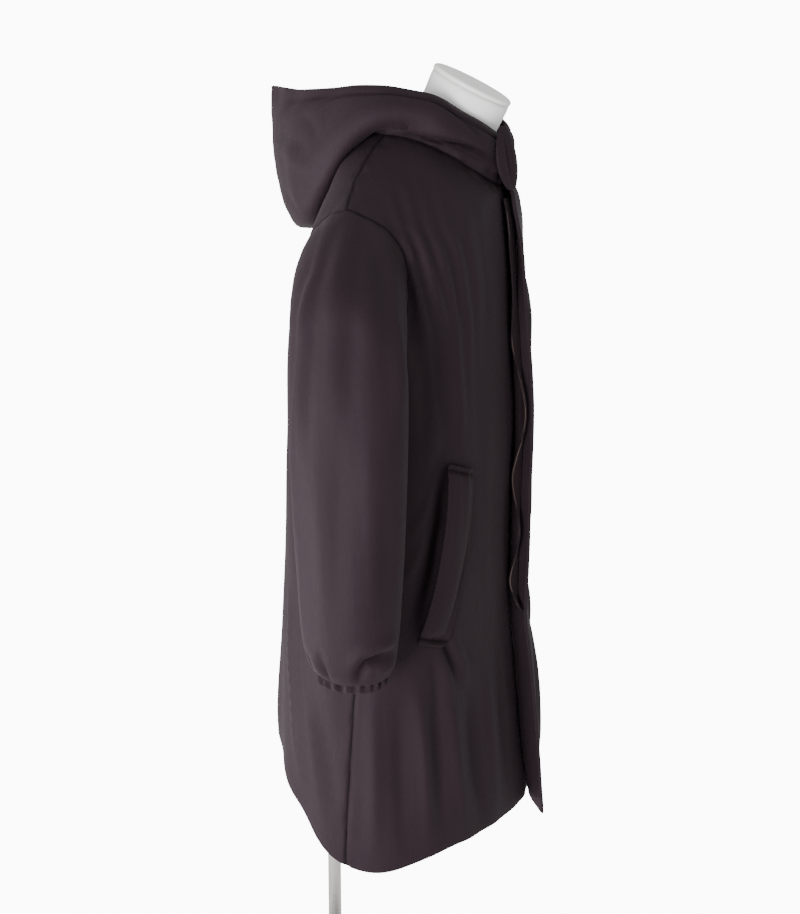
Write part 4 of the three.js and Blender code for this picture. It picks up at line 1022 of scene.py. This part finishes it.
POLE_LOOK = steel("pole_steel", (0.62, 0.60, 0.58), 0.3)
PLATE_LOOK = steel("plate_steel", (0.55, 0.54, 0.53), 0.38)
pole = turned("stand_pole", [
    (0, STAND_FOOT), (POLE_RADIUS, STAND_FOOT), (POLE_RADIUS, POLE_TOP), (0, POLE_TOP),
])
pole.data.materials.append(POLE_LOOK)
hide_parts("pole")
socket = turned("stand_socket", [
    (BORE_RADIUS, STAND_FOOT), (0.022, STAND_FOOT), (0.0218, 0.0125), (0.0195, 0.0155),
    (0.018, 0.019), (0.018, 0.058), (0.0174, 0.0595), (0.016, SOCKET_TOP), (BORE_RADIUS, SOCKET_TOP),
])
socket.data.materials.append(POLE_LOOK)
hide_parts("pole_socket")
plate = turned("stand_base", [
    (0, 0), (0.187, 0), (0.1893, 0.0007), (0.190, 0.0022), (0.190, 0.0072), (0.1893, 0.0088),
    (0.1878, 0.0097), (0.185, PLATE_TOP), (0, PLATE_TOP),
])
plate.data.materials.append(PLATE_LOOK)
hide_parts("base_plate")

# STUDIO
# A plain pale floor, a bright even surround and two large soft lights, low behind the coat and at
# its right side.
FLOOR_HALF, FLOOR_LEVEL, FLOOR_GLOW = 9, -0.0004, 10.0
DAYLIGHT, BACKDROP_LIGHT = 1.0, 11.0
FLOOR_CORNERS = [
    (x * FLOOR_HALF, y * FLOOR_HALF, FLOOR_LEVEL) for x, y in ((-1, -1), (1, -1), (1, 1), (-1, 1))
]
floor_mesh = bpy.data.meshes.new("floor")
floor_mesh.from_pydata(FLOOR_CORNERS, [], [(0, 1, 2, 3)])
floor = bpy.data.objects.new("floor", floor_mesh)
bpy.context.scene.collection.objects.link(floor)
floor_look = bpy.data.materials.new("floor_pale")
floor_look.use_nodes = True
floor_tree = floor_look.node_tree
floor_paint = floor_tree.nodes["Principled BSDF"]
floor_paint.inputs["Base Color"].default_value = (0.86, 0.86, 0.86, 1)
floor_paint.inputs["Roughness"].default_value = 0.9
floor_paint.inputs["Emission Color"].default_value = (1, 1, 1, 1)
floor_sight = shader(floor_tree, "ShaderNodeLightPath")
floor_glow = shader(floor_tree, "ShaderNodeMath", operation="MULTIPLY")
floor_glow.inputs[1].default_value = FLOOR_GLOW
link(floor_tree, floor_sight.outputs["Is Camera Ray"], floor_glow.inputs[0])
link(floor_tree, floor_glow.outputs["Value"], floor_paint.inputs["Emission Strength"])
floor_mesh.materials.append(floor_look)

world = bpy.data.worlds.new("studio")
world.use_nodes = True
backdrop = world.node_tree.nodes["Background"]
backdrop.inputs["Color"].default_value = (1, 1, 1, 1)
sight = shader(world.node_tree, "ShaderNodeLightPath")
bright = shader(world.node_tree, "ShaderNodeMapRange")
bright.inputs["To Min"].default_value = DAYLIGHT
bright.inputs["To Max"].default_value = BACKDROP_LIGHT
link(world.node_tree, sight.outputs["Is Camera Ray"], bright.inputs["Value"])
link(world.node_tree, bright.outputs["Result"], backdrop.inputs["Strength"])
bpy.context.scene.world = world


def soft_light(name, place, aim, size, power):
    """A square area light that faces a point."""
    lamp = bpy.data.lights.new(name, "AREA")
    lamp.size, lamp.energy = size, power
    obj = bpy.data.objects.new(name, lamp)
    obj.location = place
    obj.rotation_euler = (Vector(aim) - Vector(place)).to_track_quat("-Z", "Y").to_euler()
    bpy.context.scene.collection.objects.link(obj)


soft_light("key", place=(-1.5, 2.3, 0.35), aim=(-0.05, -0.05, 0.6), size=1.0, power=118)
soft_light("side", place=(-3.1, 0.1, 0.8), aim=(-0.1, -0.1, 0.9), size=1.3, power=125)

FOCAL_LENGTH, SENSOR_WIDTH = 55, 36
CAMERA_PLACE, CAMERA_AIM = Vector((-1.803, -0.838, 1.422)), Vector((0.038, -0.094, 1.0))
lens = bpy.data.cameras.new("camera")
lens.lens, lens.sensor_width = FOCAL_LENGTH, SENSOR_WIDTH
camera = bpy.data.objects.new("camera", lens)
camera.location = CAMERA_PLACE
camera.rotation_euler = (CAMERA_AIM - CAMERA_PLACE).to_track_quat("-Z", "Y").to_euler()
bpy.context.scene.collection.objects.link(camera)
bpy.context.scene.camera = camera
